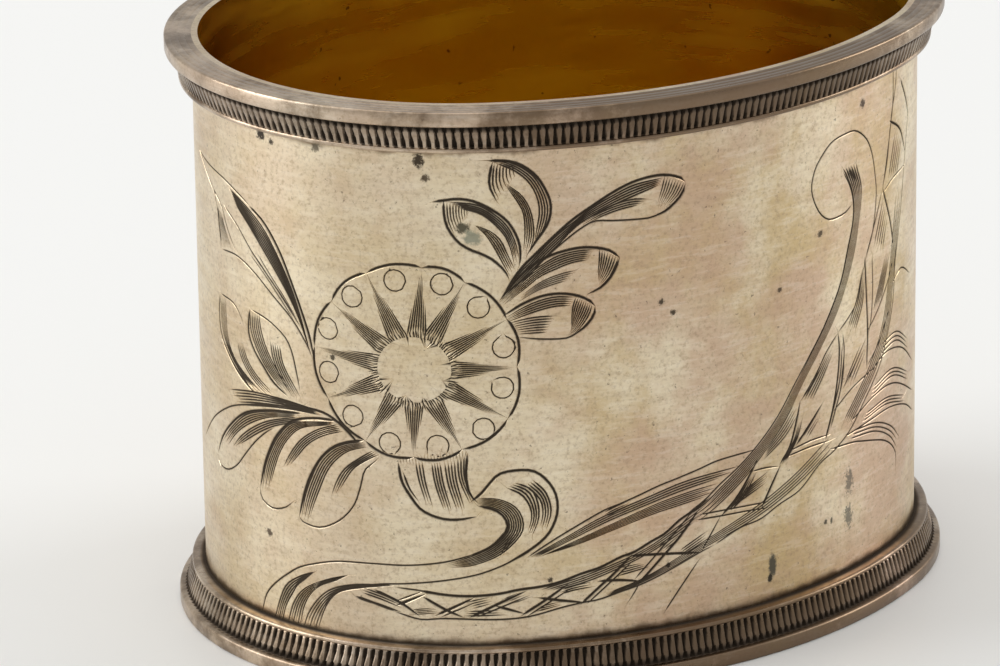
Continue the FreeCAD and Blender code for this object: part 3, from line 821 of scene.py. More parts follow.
             (6.8, 30.1), (7.4, 30.8), (8.4, 31.5), (9.8, 31.7), (11.0, 31.6), (12.2, 30.8), (12.9, 29.7),
             (13.3, 28.3), (13.5, 26.8), (13.1, 24.6), (12.2, 22.9)),
            ((15.8, 34.6), (15.8, 32.3), (15.4, 30.5), (14.8, 28.3), (14.3, 26.8)),
        ),
    ),
    Motif(
        "feather",
        thin=(
            ((-13.8, 8.4), (-11.8, 9.6), (-9.2, 10.9), (-7.9, 11.3), (-6.6, 11.7), (-5.3, 12.1),
             (-3.9, 12.4), (-2.5, 12.7), (-1.0, 13.0), (1.8, 13.1)),
        ),
        bundles=(
            Bundle(((-13.6, 8.4), (-11.4, 9.5), (-9.0, 10.6), (-5.9, 11.5), (-3.2, 12.1), (0.5, 12.3)),
                   ((-13.2, 8.4), (-10.9, 9.4), (-8.6, 10.3), (-5.7, 11.1), (-3.2, 11.6), (-0.4, 11.9)),
                   4, 0.16, 0.07),
            Bundle(((-13.0, 8.4), (-10.6, 9.3), (-8.3, 10.1), (-5.6, 10.9), (-3.4, 11.3), (-1.2, 11.5)),
                   ((-12.7, 8.5), (-10.6, 9.0), (-8.2, 9.7), (-5.8, 10.3), (-3.8, 10.6), (-1.5, 10.9)),
                   6, 0.16, 0.07),
            Bundle(((-8.9, 10.9), (-8.1, 11.2), (-7.4, 11.4)),
                   ((-8.8, 10.6), (-8.0, 10.9), (-7.3, 11.1)), 3, 0.2, 0.1),
        ),
    ),
    Motif(
        "sprigs",
        thin=(
            ((8.3, 11.4), (10.5, 11.2), (11.9, 10.9), (14.9, 10.0), (16.5, 8.8), (16.6, 7.4)),
            ((9.9, 11.8), (12.8, 12.0), (15.7, 12.0), (18.4, 11.3), (20.7, 10.1)),
            ((10.5, 12.6), (13.5, 13.5), (16.4, 13.4), (20.6, 11.5)),
            ((12.9, 15.2), (15.0, 15.9), (17.6, 15.4), (20.4, 13.6)),
            ((15.8, 20.2), (17.4, 20.8), (19.4, 19.8)),
        ),
        bundles=(
            Bundle(((10.4, 11.5), (13.4, 11.1), (15.6, 10.1), (16.8, 8.9)),
                   ((10.9, 11.9), (13.6, 11.6), (15.8, 10.7), (17.2, 9.5)), 3, 0.17, 0.07),
            Bundle(((11.9, 12.2), (15.0, 12.4), (18.2, 11.6)),
                   ((12.3, 12.6), (15.2, 12.8), (18.2, 12.0)), 3, 0.17, 0.07),
            Bundle(((13.0, 13.6), (16.0, 14.0), (19.0, 12.8)),
                   ((13.2, 14.1), (16.0, 14.5), (19.0, 13.3)), 3, 0.17, 0.07),
            Bundle(((14.2, 16.0), (16.6, 16.2), (19.0, 14.9)),
                   ((14.4, 16.6), (16.6, 16.8), (18.8, 15.6)), 3, 0.17, 0.07),
        ),
    ),
)


class NodeBench:
    """Builds a procedural material one node at a time."""

    def __init__(self, name: str) -> None:
        """Start a material with a shader and an output. Args: name of the material."""
        self.material = bpy.data.materials.new(name)
        self.material.use_nodes = True
        self.tree = self.material.node_tree
        self.shader = self.tree.nodes["Principled BSDF"]
        self.place = self.add("ShaderNodeTexCoord").outputs["Object"]

    def add(self, kind: str, settings: dict[str, object] | None = None, **inputs: object) -> bpy.types.Node:
        """Add a node.

        Args:
            kind: Blender's name for the node.
            settings: properties of the node itself.
            inputs: sockets to link or values to set, with underscores for spaces.

        Returns:
            The new node.
        """
        node = self.tree.nodes.new(kind)
        for key, value in (settings or {}).items():
            setattr(node, key, value)
        for key, value in inputs.items():
            self.feed(node.inputs[key.replace("_", " ")], value)
        return node

    def feed(self, socket: Socket, value: object) -> None:
        """Link a socket to another, or set its value. Args: the socket and what it takes."""
        if isinstance(value, Socket):
            self.tree.links.new(value, socket)
        else:
            socket.default_value = value

    def dress(self, name: str, value: object) -> None:
        """Feed one of the shader's own sockets. Args: its name and what it takes."""
        self.feed(self.shader.inputs[name], value)

    def noise(self, scale: float, detail: float = 4.0, roughness: float = 0.55,
              stretch: Triple = (1.0, 1.0, 1.0), offset: Triple = (0.0, 0.0, 0.0)) -> Socket:
        """Add cloudy noise.

        Args:
            scale: how many clouds there are to a metre.
            detail: how many finer layers are added.
            roughness: how strong the finer layers are.
            stretch: how much the noise is squeezed along each axis.
            offset: where the noise begins.

        Returns:
            Its value.
        """
        moved = self.add("ShaderNodeMapping", Vector=self.place, Location=offset, Scale=stretch)
        cloud = self.add("ShaderNodeTexNoise", Vector=moved.outputs[0], Scale=scale, Detail=detail,
                         Roughness=roughness)
        return cloud.outputs["Fac"]

    def spread(self, value: Socket, low: float, high: float, start: float = 0.0, end: float = 1.0) -> Socket:
        """Map a range of values to another. Args: the value, its range and the new one. Returns: the new value."""
        node = self.add("ShaderNodeMapRange", {"interpolation_type": "SMOOTHSTEP"}, Value=value,
                        From_Min=low, From_Max=high, To_Min=start, To_Max=end)
        return node.outputs["Result"]

    def sum(self, kind: str, one: object, two: object = 0.0) -> Socket:
        """Combine two numbers. Args: the operation and the numbers. Returns: the result."""
        node = self.add("ShaderNodeMath", {"operation": kind})
        self.feed(node.inputs[0], one)
        self.feed(node.inputs[1], two)
        return node.outputs[0]

    def times(self, one: Socket, two: object) -> Socket:
        """Multiply two numbers. Args: the numbers. Returns: the product."""
        return self.sum("MULTIPLY", one, two)

    def blend(self, share: object, one: Socket | Triple, two: Socket | Triple) -> Socket:
        """Mix two colours. Args: the share of the second, and both colours. Returns: the colour."""
        node = self.add("ShaderNodeMix", {"data_type": "RGBA"})
        self.feed(node.inputs[0], share)
        for socket, colour in ((node.inputs[6], one), (node.inputs[7], two)):
            self.feed(socket, colour if isinstance(colour, Socket) else (*colour, 1.0))
        return node.outputs[2]

    def vector(self, kind: str, one: Socket, two: Triple) -> bpy.types.Node:
        """Combine two vectors. Args: the operation and the vectors. Returns: the node."""
        node = self.add("ShaderNodeVectorMath", {"operation": kind})
        self.feed(node.inputs[0], one)
        node.inputs[1].default_value = two
        return node

    def spot(self, middle: Triple, radius: float, squeeze: Triple, ragged: float) -> Socket:
        """Mask a ragged stain.

        Args:
            middle: the stain's middle, in metres.
            radius: its radius, in metres.
            squeeze: how much the stain is narrowed along each axis.
            ragged: how far its edge wanders.

        Returns:
            1 inside the stain and 0 outside.
        """
        away = self.vector("SUBTRACT", self.place, middle)
        narrow = self.vector("MULTIPLY", away.outputs[0], squeeze)
        length = self.vector("LENGTH", narrow.outputs[0], (0.0, 0.0, 0.0)).outputs["Value"]
        cloud = self.sum("SUBTRACT", self.noise(1.6 / radius, 3.0, 0.7), 0.5)
        wander = self.times(cloud, radius * ragged * 4.0)
        return self.spread(self.sum("ADD", length, wander), radius * 0.55, radius * 1.15, 1.0, 0.0)


SOOT: Triple = (0.02, 0.012, 0.006)
BROWN: Triple = (0.03, 0.02, 0.01)
RUST: Triple = (0.05, 0.03, 0.015)


@dataclass(frozen=True)
class Stain:
    """A mark on the silver: its place on the wall and radius in millimetres, its colour, strength and shape."""

    along: float
    up: float
    radius: float
    colour: Triple = BROWN
    strength: float = 0.9
    tall: float = 1.0
    ragged: float = 0.5

    def mask(self, bench: NodeBench, oval: Oval) -> Socket:
        """Mask the stain on a material. Args: the bench and the oval. Returns: its strength at each place."""
        face = oval.wrap(np.array([self.along]), np.array([self.up]), np.array([0.0]))[0]
        squeeze = (1.0, 1.0, 1.0 / self.tall)
        middle = tuple(float(value) for value in face)
        return bench.times(bench.spot(middle, self.radius * MILLIMETRE, squeeze, self.ragged), self.strength)


@dataclass(frozen=True)
class TarnishedSilver:
    """Old silver: cream, ochre and rose toning, painted paler toward the left end as a highlight, brown tarnish,
    painted shade lines, fine scratches, pits and black oxide in the cuts.
    """

    name: str = "tarnished_silver"
    cream: Triple = (0.75, 0.645, 0.47)
    ochre: Triple = (0.53, 0.38, 0.18)
    rose: Triple = (0.55, 0.38, 0.265)
    tarnish_and_shade: Triple = (0.14, 0.09, 0.052)
    oxide_and_shade: Triple = (0.030, 0.021, 0.014)
    pit: Triple = (0.05, 0.035, 0.022)
    dust: Triple = (0.34, 0.24, 0.15)
    dull_grain: Triple = (0.36, 0.27, 0.19)
    bright_grain: Triple = (0.95, 0.88, 0.76)
    roughness: float = 0.36
    # Where the painted highlight fades out: paler cream left of the first, full toning right of the second.
    pale_highlight_from: float = -21.0
    pale_highlight_to: float = -2.0
    tarnish_and_shade_strength: float = 0.0
    speckle: float = 0.55
    # Heights of painted shade lines, darkened along the joints with the rims.
    shade_levels: tuple[float, ...] = ()
    stains: tuple[Stain, ...] = ()

    def make(self, oval: Oval, cut_and_shade_attribute: str) -> bpy.types.Material:
        """Build the material.

        Args:
            oval: the oval that places the stains.
            cut_and_shade_attribute: the vertex attribute that says how deep a cut is, and on the rims also where
                shade is painted.

        Returns:
            The material.
        """
        bench = NodeBench(self.name)
        scratches = bench.noise(420.0, 5.0, 0.7, stretch=(0.2, 0.2, 3.0))
        pits = bench.spread(bench.noise(3300.0, 3.0, 0.6, offset=(1.0, 2.0, 3.0)), 0.675, 0.72)
        colour = bench.blend(bench.times(pits, self.speckle), self.toning(bench), self.pit)
        soiled = bench.times(pits, 0.5)
        for stain in self.stains:
            mask = stain.mask(bench, oval)
            colour = bench.blend(mask, colour, stain.colour)
            soiled = bench.sum("MAXIMUM", soiled, mask)
        cut = bench.add("ShaderNodeAttribute", {"attribute_name": cut_and_shade_attribute}).outputs["Fac"]
        # Black oxide in the cuts; on the rims the attribute also paints shade next to the flange and along the joint
        # with the wall.
        dark = bench.spread(cut, 0.08, 0.60)
        bench.dress("Base Color", bench.blend(bench.times(dark, 0.96), colour, self.oxide_and_shade))
        bench.dress("Metallic", bench.spread(bench.sum("MAXIMUM", dark, soiled), 0.1, 0.9, 1.0, 0.0))
        bench.dress("Specular IOR Level", 0.15)
        worn = bench.spread(scratches, 0.25, 0.75, self.roughness - 0.06, self.roughness + 0.08)
        bench.dress("Roughness", bench.sum("MAXIMUM", worn, bench.times(dark, 0.9)))
        dents = bench.add("ShaderNodeBump", Height=bench.noise(150.0, 2.0, 0.4), Strength=0.22, Distance=0.0004)
        marks = bench.sum("SUBTRACT", scratches, bench.times(pits, 0.8))
        relief = bench.add("ShaderNodeBump", Height=marks, Strength=0.3, Distance=0.00004, Normal=dents.outputs[0])
        bench.dress("Normal", relief.outputs[0])
        return bench.material

    def toning(self, bench: NodeBench) -> Socket:
        """Mix the silver's colours, including a painted paler highlight at the left end and painted shade.

        Args:
            bench: the bench that the material is built on.

        Returns:
            The colour, without pits, stains or oxide.
        """
        across, _, height = bench.add("ShaderNodeSeparateXYZ", Vector=bench.place).outputs
        # Partly real toning, partly painted highlight: ochre and rose thin out toward the left end, so that end is
        # painted paler.
        side = bench.spread(across, self.pale_highlight_from * MILLIMETRE, self.pale_highlight_to * MILLIMETRE)
        ochre = bench.spread(bench.noise(150.0, 8.0, 0.68), 0.38, 0.64)
        rose = bench.spread(bench.noise(100.0, 7.0, 0.64, offset=(0.3, 0.1, 0.2)), 0.40, 0.62)
        colour = bench.blend(bench.times(ochre, bench.spread(side, 0.0, 1.0, 0.45, 0.85)), self.cream, self.ochre)
        colour = bench.blend(bench.times(rose, bench.spread(side, 0.0, 1.0, 0.35, 0.85)), colour, self.rose)
        dust = bench.noise(3600.0, 3.0, 0.7, offset=(2.0, 0.0, 1.0))
        colour = bench.blend(bench.spread(dust, 0.45, 0.75, 0.0, 0.55), colour, self.dust)
        grain = bench.noise(1500.0, 4.0, 0.7, stretch=(0.3, 0.3, 1.8), offset=(0.2, 0.6, 0.1))
        colour = bench.blend(bench.spread(grain, 0.50, 0.66, 0.0, 0.16), colour, self.dull_grain)
        colour = bench.blend(bench.spread(grain, 0.50, 0.36, 0.0, 0.14), colour, self.bright_grain)
        # Partly real brown tarnish, partly painted shade: the brown is boosted across the front middle and thins
        # toward both ends.
        front_tarnish_and_shade = bench.times(bench.spread(across, -0.018, -0.004), bench.spread(across, 0.008, 0.019, 1.0, 0.45))
        brown = bench.noise(210.0, 7.0, 0.7, offset=(0.7, 0.9, 0.4))
        brown = bench.spread(bench.sum("ADD", brown, bench.times(front_tarnish_and_shade, 0.22)), 0.40, 0.66)
        colour = bench.blend(bench.times(brown, self.tarnish_and_shade_strength), colour, self.tarnish_and_shade)
        # Painted shade: a thin ragged darker line at each height, where the wall meets a rim.
        for level in self.shade_levels:
            away = bench.sum("ABSOLUTE", bench.sum("SUBTRACT", height, level * MILLIMETRE))
            away = bench.sum("ADD", away, bench.spread(bench.noise(500.0, 4.0, 0.6), 0.3, 0.7, 0.0, 0.0004))
            colour = bench.blend(bench.spread(away, 0.0002, 0.0007, 0.85, 0.0), colour, self.tarnish_and_shade)
        return colour


@dataclass(frozen=True)
class WornGilding:
    """The gilt lining: deep amber gold with brown patches and dark specks."""

    name: str = "worn_gilding"
    gold: Triple = (0.79, 0.57, 0.035)
    brown: Triple = (0.60, 0.29, 0.03)
    speck: Triple = (0.04, 0.02, 0.005)
    edge_tint: Triple = (0.7, 0.5, 0.25)

    def make(self) -> bpy.types.Material:
        """Build the material and return it."""
        bench = NodeBench(self.name)
        cloud = bench.spread(bench.noise(90.0, 5.0, 0.6), 0.35, 0.7)
        across = bench.add("ShaderNodeSeparateXYZ", Vector=bench.place).outputs["X"]
        reddish = bench.spread(across, -0.020, -0.004, 0.75, 0.15)
        colour = bench.blend(bench.sum("ADD", bench.times(cloud, 0.35), reddish), self.gold, self.brown)
        specks = bench.spread(bench.noise(1300.0, 2.0, 0.5), 0.70, 0.75)
        bench.dress("Base Color", bench.blend(bench.times(specks, 0.7), colour, self.speck))
        bench.dress("Metallic", 1.0)
        bench.dress("Specular Tint", (*self.edge_tint, 1.0))
        brushed = bench.noise(300.0, 4.0, 0.6, stretch=(0.3, 0.3, 2.0))
        bench.dress("Roughness", bench.spread(brushed, 0.3, 0.7, 0.22, 0.34))
        relief = bench.add("ShaderNodeBump", Height=bench.noise(120.0, 2.0), Strength=0.12, Distance=0.0003)
        bench.dress("Normal", relief.outputs[0])
        return bench.material


@dataclass
class EngravedSleeve:
    """The rolled sleeve with its engraving cut into the outer face and its gilt lining."""

    oval: Oval = field(default_factory=Oval)
    height: float = 37.5
    wall: float = 0.4
    columns: int = 272
    seam_rows: int = 12
    filler_spacing: float = 1.0
    filler_stagger: float = 0.25
    filler_margin: float = 0.5
    plain_rows: int = 4
    clearance: float = 0.3
    full_cut: float = 0.09
    least_cut: float = 0.002
    cut_and_shade_attribute: str = "cut"
    front: tuple[float, float] = (-44.0, 24.0)

    def outline(self) -> tuple[list[Place], list[tuple[int, int]]]:
        """Give the places round the edge of the unrolled wall and the edges that join them."""
        half = self.oval.perimeter / 2.0
        across = np.linspace(-half, half, self.columns + 1)
        rise = np.linspace(0.0, self.height, self.seam_rows + 1)
        places = [(x, 0.0) for x in across] + [(half, z) for z in rise[1:]]
        places += [(x, self.height) for x in across[::-1][1:]] + [(-half, z) for z in rise[::-1][1:-1]]
        return places, [(index, (index + 1) % len(places)) for index in range(len(places))]

    def filler(self, strokes: list[Stroke]) -> list[Place]:
        """Scatter places over the plain parts of the wall.

        Args:
            strokes: the cuts that the places stay clear of.

        Returns:
            The places.
        """
        points = np.vstack([stroke.line for stroke in strokes])
        tree = KDTree(len(points))
        for index, (x, z) in enumerate(points):
            tree.insert((x, z, 0.0), index)
        tree.balance()
        places = []
        half = self.oval.perimeter / 2.0
        gap, margin = self.filler_spacing, self.filler_margin
        for row, z in enumerate(np.arange(gap, self.height - margin, gap)):
            for x in np.arange(-half + gap, half - margin, gap):
                engraved = self.front[0] < x < self.front[1]
                if engraved and tree.find((x, z, 0.0))[2] > self.clearance:
                    places.append((x + self.filler_stagger * (row % 2), z))
                elif not engraved and row % self.plain_rows == 0:
                    places.append((x, z))
        return places

    def triangulate(self, strokes: list[Stroke]) -> tuple[np.ndarray, list[list[int]]]:
        """Divide the unrolled wall into triangles whose edges follow every cut.

        Args:
            strokes: the cuts.

        Returns:
            The places on the wall and the triangles.
        """
        places, edges = self.outline()
        places += self.filler(strokes)
        for stroke in strokes:
            line = stroke.line
            tangent = np.gradient(line, axis=0)
            tangent /= np.hypot(tangent[:, 0], tangent[:, 1])[:, None]
            across = np.stack([-tangent[:, 1], tangent[:, 0]], axis=1) * stroke.halves()[:, None]
            for offset in (-1.0, 0.0, 1.0):
                first = len(places)
                places += [tuple(place) for place in line + offset * across]
                edges += [(first + index, first + index + 1) for index in range(len(line) - 1)]
        flat = [Vector(place) for place in places]
        verts, _, faces, _, _, _ = delaunay_2d_cdt(flat, edges, [], 0, 1e-5, True)
        return np.array([tuple(vert) for vert in verts]), faces

    def depths(self, places: np.ndarray, strokes: list[Stroke]) -> np.ndarray:
        """Find how deep the deepest cut is at each place.

        Args:
            places: the places on the wall.
            strokes: the cuts.

        Returns:
            The depths in millimetres.
        """
        starts, ends, widths, floors = [], [], [], []
        for stroke in strokes:
            half = stroke.halves()
            floor = stroke.shares() * stroke.tool.depth
            starts.append(stroke.line[:-1])
            ends.append(stroke.line[1:])
            widths.append(np.stack([half[:-1], half[1:]], axis=1))
            floors.append(np.stack([floor[:-1], floor[1:]], axis=1))
        one, two, half, floor = (np.vstack(part) for part in (starts, ends, widths, floors))
        tree = KDTree(len(one))
        for index, middle in enumerate((one + two) / 2.0):
            tree.insert((middle[0], middle[1], 0.0), index)
        tree.balance()
        reach = float(np.hypot(*(two - one).T).max() / 2.0 + half.max())
        near, which = [], []
        for index, (x, z) in enumerate(places):
            for _, segment, _ in tree.find_range((x, z, 0.0), reach):
                near.append(index)
                which.append(segment)
        near, which = np.array(near), np.array(which)
        span = two[which] - one[which]
        share = np.clip(((places[near] - one[which]) * span).sum(1) / (span ** 2).sum(1), 0.0, 1.0)
        gap = np.hypot(*(places[near] - one[which] - span * share[:, None]).T)
        width = half[which, 0] * (1.0 - share) + half[which, 1] * share
        depth = floor[which, 0] * (1.0 - share) + floor[which, 1] * share
        deepest = np.zeros(len(places))
        np.maximum.at(deepest, near, depth * np.clip(1.0 - gap / width, 0.0, 1.0))
        deepest[deepest < self.least_cut] = 0.0
        return deepest

    def build(self, strokes: list[Stroke], silver: bpy.types.Material,
              gilding: bpy.types.Material) -> bpy.types.Object:
        """Build the sleeve.

        Args:
            strokes: the cuts in its outer face.
            silver: the finish of the outside and the ends.
            gilding: the finish of the lining.

        Returns:
            The sleeve as one closed piece.
        """
        places, faces = self.triangulate(strokes)
        depth = self.depths(places, strokes)
        shape = bpy.data.meshes.new("engraved_sleeve")
        shape.from_pydata(self.oval.wrap(places[:, 0], places[:, 1], -depth).tolist(), [], faces)
        work = bmesh.new()
        work.from_mesh(shape)
        layer = work.verts.layers.float.new(self.cut_and_shade_attribute)
        for vert, value in zip(work.verts, depth):
            vert[layer] = min(value / self.full_cut, 1.0)
        bmesh.ops.remove_doubles(work, verts=[vert for vert in work.verts if vert.is_boundary], dist=1e-6)
        bmesh.ops.recalc_face_normals(work, faces=work.faces)
        self.line_inside(work)
        work.to_mesh(shape)
        work.free()
        shape.materials.append(silver)
        shape.materials.append(gilding)
        self.true_normals(shape)
        return bpy.data.objects.new("engraved_sleeve", shape)

    def line_inside(self, work: bmesh.types.BMesh) -> None:
        """Turn both ends of the shell inwards and join them with the lining. Args: the shell."""
        rim_edges = [edge for edge in work.edges if edge.is_boundary]
        made = bmesh.ops.extrude_edge_only(work, edges=rim_edges)["geom"]
        inner = [item for item in made if isinstance(item, bmesh.types.BMVert)]
        top = self.height * MILLIMETRE
        half = self.oval.perimeter / 2.0
        across = np.linspace(-half, half, self.columns, endpoint=False)
        outer = self.oval.wrap(across, np.zeros(self.columns), np.zeros(self.columns))
        lining = self.oval.wrap(across, np.zeros(self.columns), np.full(self.columns, -self.wall))
        tree = KDTree(self.columns)
        for index, point in enumerate(outer):
            tree.insert(point, index)
        tree.balance()
        for vert in inner:
            index = tree.find((vert.co.x, vert.co.y, 0.0))[1]
            vert.co.x, vert.co.y = lining[index][0], lining[index][1]
            vert.co.z = top if vert.co.z > top / 2.0 else 0.0
        loops = [edge for edge in work.edges if edge.is_boundary]
        for face in bmesh.ops.bridge_loops(work, edges=loops)["faces"]:
            face.material_index = 1
        bmesh.ops.recalc_face_normals(work, faces=work.faces)

    def true_normals(self, shape: bpy.types.Mesh) -> None:
        """Give the plain wall and lining the oval's own normals, and each side of a cut its own. Args: the mesh."""
        for face in shape.polygons:
            face.use_smooth = True
        cut = np.zeros(len(shape.vertices), np.float32)
        shape.attributes[self.cut_and_shade_attribute].data.foreach_get("value", cut)
        points = np.zeros(len(shape.vertices) * 3, np.float32)
        shape.vertices.foreach_get("co", points)
        outward = self.outward(points.reshape(-1, 3) / MILLIMETRE)
        normals = []
        for face in shape.polygons:
            own = np.array(face.normal)
            rows = list(face.vertices)
            upright = abs(own[2]) < 0.02 and (face.material_index == 1 or cut[rows].max() == 0.0)
            for row in rows:
                facing = math.copysign(1.0, float(outward[row] @ own))
                normals.append(tuple(outward[row] * facing) if upright else tuple(own))
        shape.normals_split_custom_set(normals)

    def outward(self, points: np.ndarray) -> np.ndarray:
        """Give the oval's outward direction nearest each point, in millimetres. Args: points. Returns: directions."""
        end = self.oval.half_length - self.oval.end_radius
        gap = self.oval.side_radius - self.oval.half_width
        x, y = np.abs(points[:, 0]), np.abs(points[:, 1])
        on_side = np.arctan2(y + gap, x) > self.oval.join
        out = np.stack([np.where(on_side, x, x - end), np.where(on_side, y + gap, y), np.zeros(len(x))], axis=1)
        out *= np.stack([np.sign(points[:, 0]), np.sign(points[:, 1]), np.ones(len(x))], axis=1)
        return out / np.linalg.norm(out, axis=1)[:, None]


@dataclass
class MilledRim:
    """A moulded wire round one end of the ring: flat face, flange, milled ribs and a bead, in millimetres."""

    end: RingEnd
    oval: Oval = field(default_factory=Oval)
    height: float = 37.5
    ribs: int = 278
    rib_columns: int = 8
    lean: float = 0.22
    slot_depth: float = 0.34
    slot_levels: tuple[float, ...] = (0.0, 0.14, 0.28, 0.50, 0.78, 1.0)
    slot_halves: tuple[float, ...] = (0.36, 0.34, 0.16, 0.17, 0.33, 0.30)
    soft_edge: float = 0.16
    # Darkening along the milled band at its levels: black oxide in the recess plus painted shade, strongest next to
    # the flange; and a painted shade line where the bead meets the wall.
    shade_levels: tuple[float, ...] = (0.0, 0.1, 0.25, 1.0)
    band_oxide_and_shade: tuple[float, ...] = (0.75, 0.6, 0.3, 0.25)
    joint_shade: float = 0.8
    sharp_angle: float = math.radians(50.0)
    cut_and_shade_attribute: str = "cut"
    face_profile: Places = (
        (0.0, 0.0), (0.34, 0.0), (0.38, 0.025), (0.42, 0.0), (0.80, 0.0), (0.84, 0.02), (0.88, 0.0), (1.28, 0.0),
        (1.31, 0.015), (1.34, 0.0), (1.58, 0.0), (1.66, 0.035), (1.70, 0.11), (1.70, 0.78), (1.67, 0.87),
        (1.58, 0.92), (1.40, 0.94))
    band_levels: tuple[float, ...] = (0.02, 0.08, 0.16, 0.28, 0.42, 0.56, 0.70, 0.82, 0.91, 0.97)
    bead_profile: Places = (
        (0.80, 2.50), (0.85, 2.53), (0.87, 2.62), (0.85, 2.73), (0.76, 2.79), (0.60, 2.80), (0.0, 2.80))
    band_span: tuple[float, float] = (0.95, 2.50)
    band_reach: tuple[float, float] = (1.30, 0.82)

    def rows(self) -> list[Triple]:
        """List the rows round the wire's section as reach, depth and place in the milled band, -1 outside it."""
        rows = [(reach, depth, -1.0) for reach, depth in self.face_profile]
        for level in self.band_levels:
            reach = self.band_reach[0] + (self.band_reach[1] - self.band_reach[0]) * level
            depth = self.band_span[0] + (self.band_span[1] - self.band_span[0]) * level
            rows.append((reach, depth, level))
        return rows + [(reach, depth, -1.0) for reach, depth in self.bead_profile]

    def slot(self, turn: np.ndarray, level: float) -> np.ndarray:
        """Shape one slot between two ribs.

        Args:
            turn: places across the pitch, from 0 to 1.
            level: the place in the band, from 0 at the flange to 1 at the bead.

        Returns:
            How deep the slot is, from 0 to 1.
        """
        middle = 0.5 + self.lean * (level - 0.5)
        half = float(np.interp(level, self.slot_levels, self.slot_halves))
        away = np.abs((turn - middle + 0.5) % 1.0 - 0.5)
        wide = np.clip((half - away) / self.soft_edge, 0.0, 1.0)
        fade = min(level / 0.05, 1.0) * min((1.0 - level) / 0.08, 1.0)
        return wide * wide * (3.0 - 2.0 * wide) * fade

    def build(self, silver: bpy.types.Material) -> bpy.types.Object:
        """Build the rim.

        Args:
            silver: its finish.

        Returns:
            The rim as one closed piece.
        """
        rows = self.rows()
        columns = self.ribs * self.rib_columns
        name = f"{self.end.value}_milled_rim"
        work = bmesh.new()
        bmesh.ops.create_grid(work, x_segments=columns, y_segments=len(rows), size=0.5)
        shape = bpy.data.meshes.new(name)
        work.to_mesh(shape)
        work.free()
        flat = np.zeros(len(shape.vertices) * 3)
        shape.vertices.foreach_get("co", flat)
        flat = flat.reshape(-1, 3)
        column = np.rint((flat[:, 0] + 0.5) * columns).astype(int) % columns
        row = np.rint((flat[:, 1] + 0.5) * len(rows)).astype(int) % len(rows)
        reach, depth, level = (np.array(part)[row] for part in zip(*rows))
        turn = (column % self.rib_columns) / self.rib_columns
        sunk = np.zeros(len(flat))
        for value in self.band_levels:
            here = level == value
            sunk[here] = self.slot(turn[here], value)
        along = column / columns * self.oval.perimeter - self.oval.perimeter / 2.0
        up = depth if self.end is RingEnd.LOWER else self.height - depth
        points = self.oval.wrap(along, up, reach - sunk * self.slot_depth)
        shape.vertices.foreach_set("co", points.ravel())
        # Painted shade on top of the band's real oxide, strongest next to the flange, and painted shade along the
        # bead's joint with the wall.
        in_band = np.where(level >= 0.0, np.interp(level, self.shade_levels, self.band_oxide_and_shade), 0.0)
        at_joint = np.where((reach == 0.0) & (depth > 0.0), self.joint_shade, 0.0)
        cut = shape.attributes.new(self.cut_and_shade_attribute, "FLOAT", "POINT")
        cut.data.foreach_set("value", np.maximum.reduce([sunk, in_band, at_joint]).astype(np.float32))
        work = bmesh.new()
        work.from_mesh(shape)
        bmesh.ops.remove_doubles(work, verts=work.verts, dist=1e-7)
        bmesh.ops.recalc_face_normals(work, faces=work.faces)
        work.to_mesh(shape)
        work.free()
        for face in shape.polygons:
            face.use_smooth = True
        shape.set_sharp_from_angle(angle=self.sharp_angle)
        shape.materials.append(silver)
        return bpy.data.objects.new(name, shape)


@dataclass(frozen=True)
class PhotoCamera:
    """The camera's place and turn, in metres and radians."""

    yaw: float = 0.584491
    elevation: float = 0.331973
    roll: float = -0.0136818
    aim: Triple = (-0.00372, 0.00140, 0.01617)
    distance: float = 0.42566
    lens: float = 240.65
    sensor: float = 36.0

    def make(self) -> None:
        """Make the camera."""
        level = math.cos(self.elevation)
        right = Vector((math.cos(self.yaw), -math.sin(self.yaw), 0.0))
        forward = Vector((math.sin(self.yaw) * level, math.cos(self.yaw) * level, -math.sin(self.elevation)))
        up = right.cross(forward)
        data = bpy.data.cameras.new("camera")
        data.lens = self.lens
        data.sensor_width = self.sensor
        data.clip_start = 0.01
        data.clip_end = 10.0
        camera = bpy.data.objects.new("camera", data)
        side = right * math.cos(self.roll) + up * math.sin(self.roll)
        top = up * math.cos(self.roll) - right * math.sin(self.roll)
        turn = Matrix((side, top, -forward)).transposed().to_4x4()
        camera.matrix_world = Matrix.Translation(Vector(self.aim) - forward * self.distance) @ turn
        bpy.context.scene.collection.objects.link(camera)
        bpy.context.scene.camera = camera


@dataclass(frozen=True)
class Lamp:
    """One soft lamp: where it is, what it faces, its size in metres and its power in watts."""

    name: str
    place: Triple
    size: tuple[float, float]
    power: float
    aim: Triple = (0.0, 0.0, 0.02)

    def make(self) -> None:
        """Make the lamp."""
        data = bpy.data.lights.new(self.name, "AREA")
        data.shape = "RECTANGLE"
        data.size, data.size_y = self.size
        data.energy = self.power
        lamp = bpy.data.objects.new(self.name, data)
        lamp.location = self.place
        lamp.rotation_euler = (Vector(self.aim) - Vector(self.place)).to_track_quat("-Z", "Y").to_euler()
        bpy.context.scene.collection.objects.link(lamp)


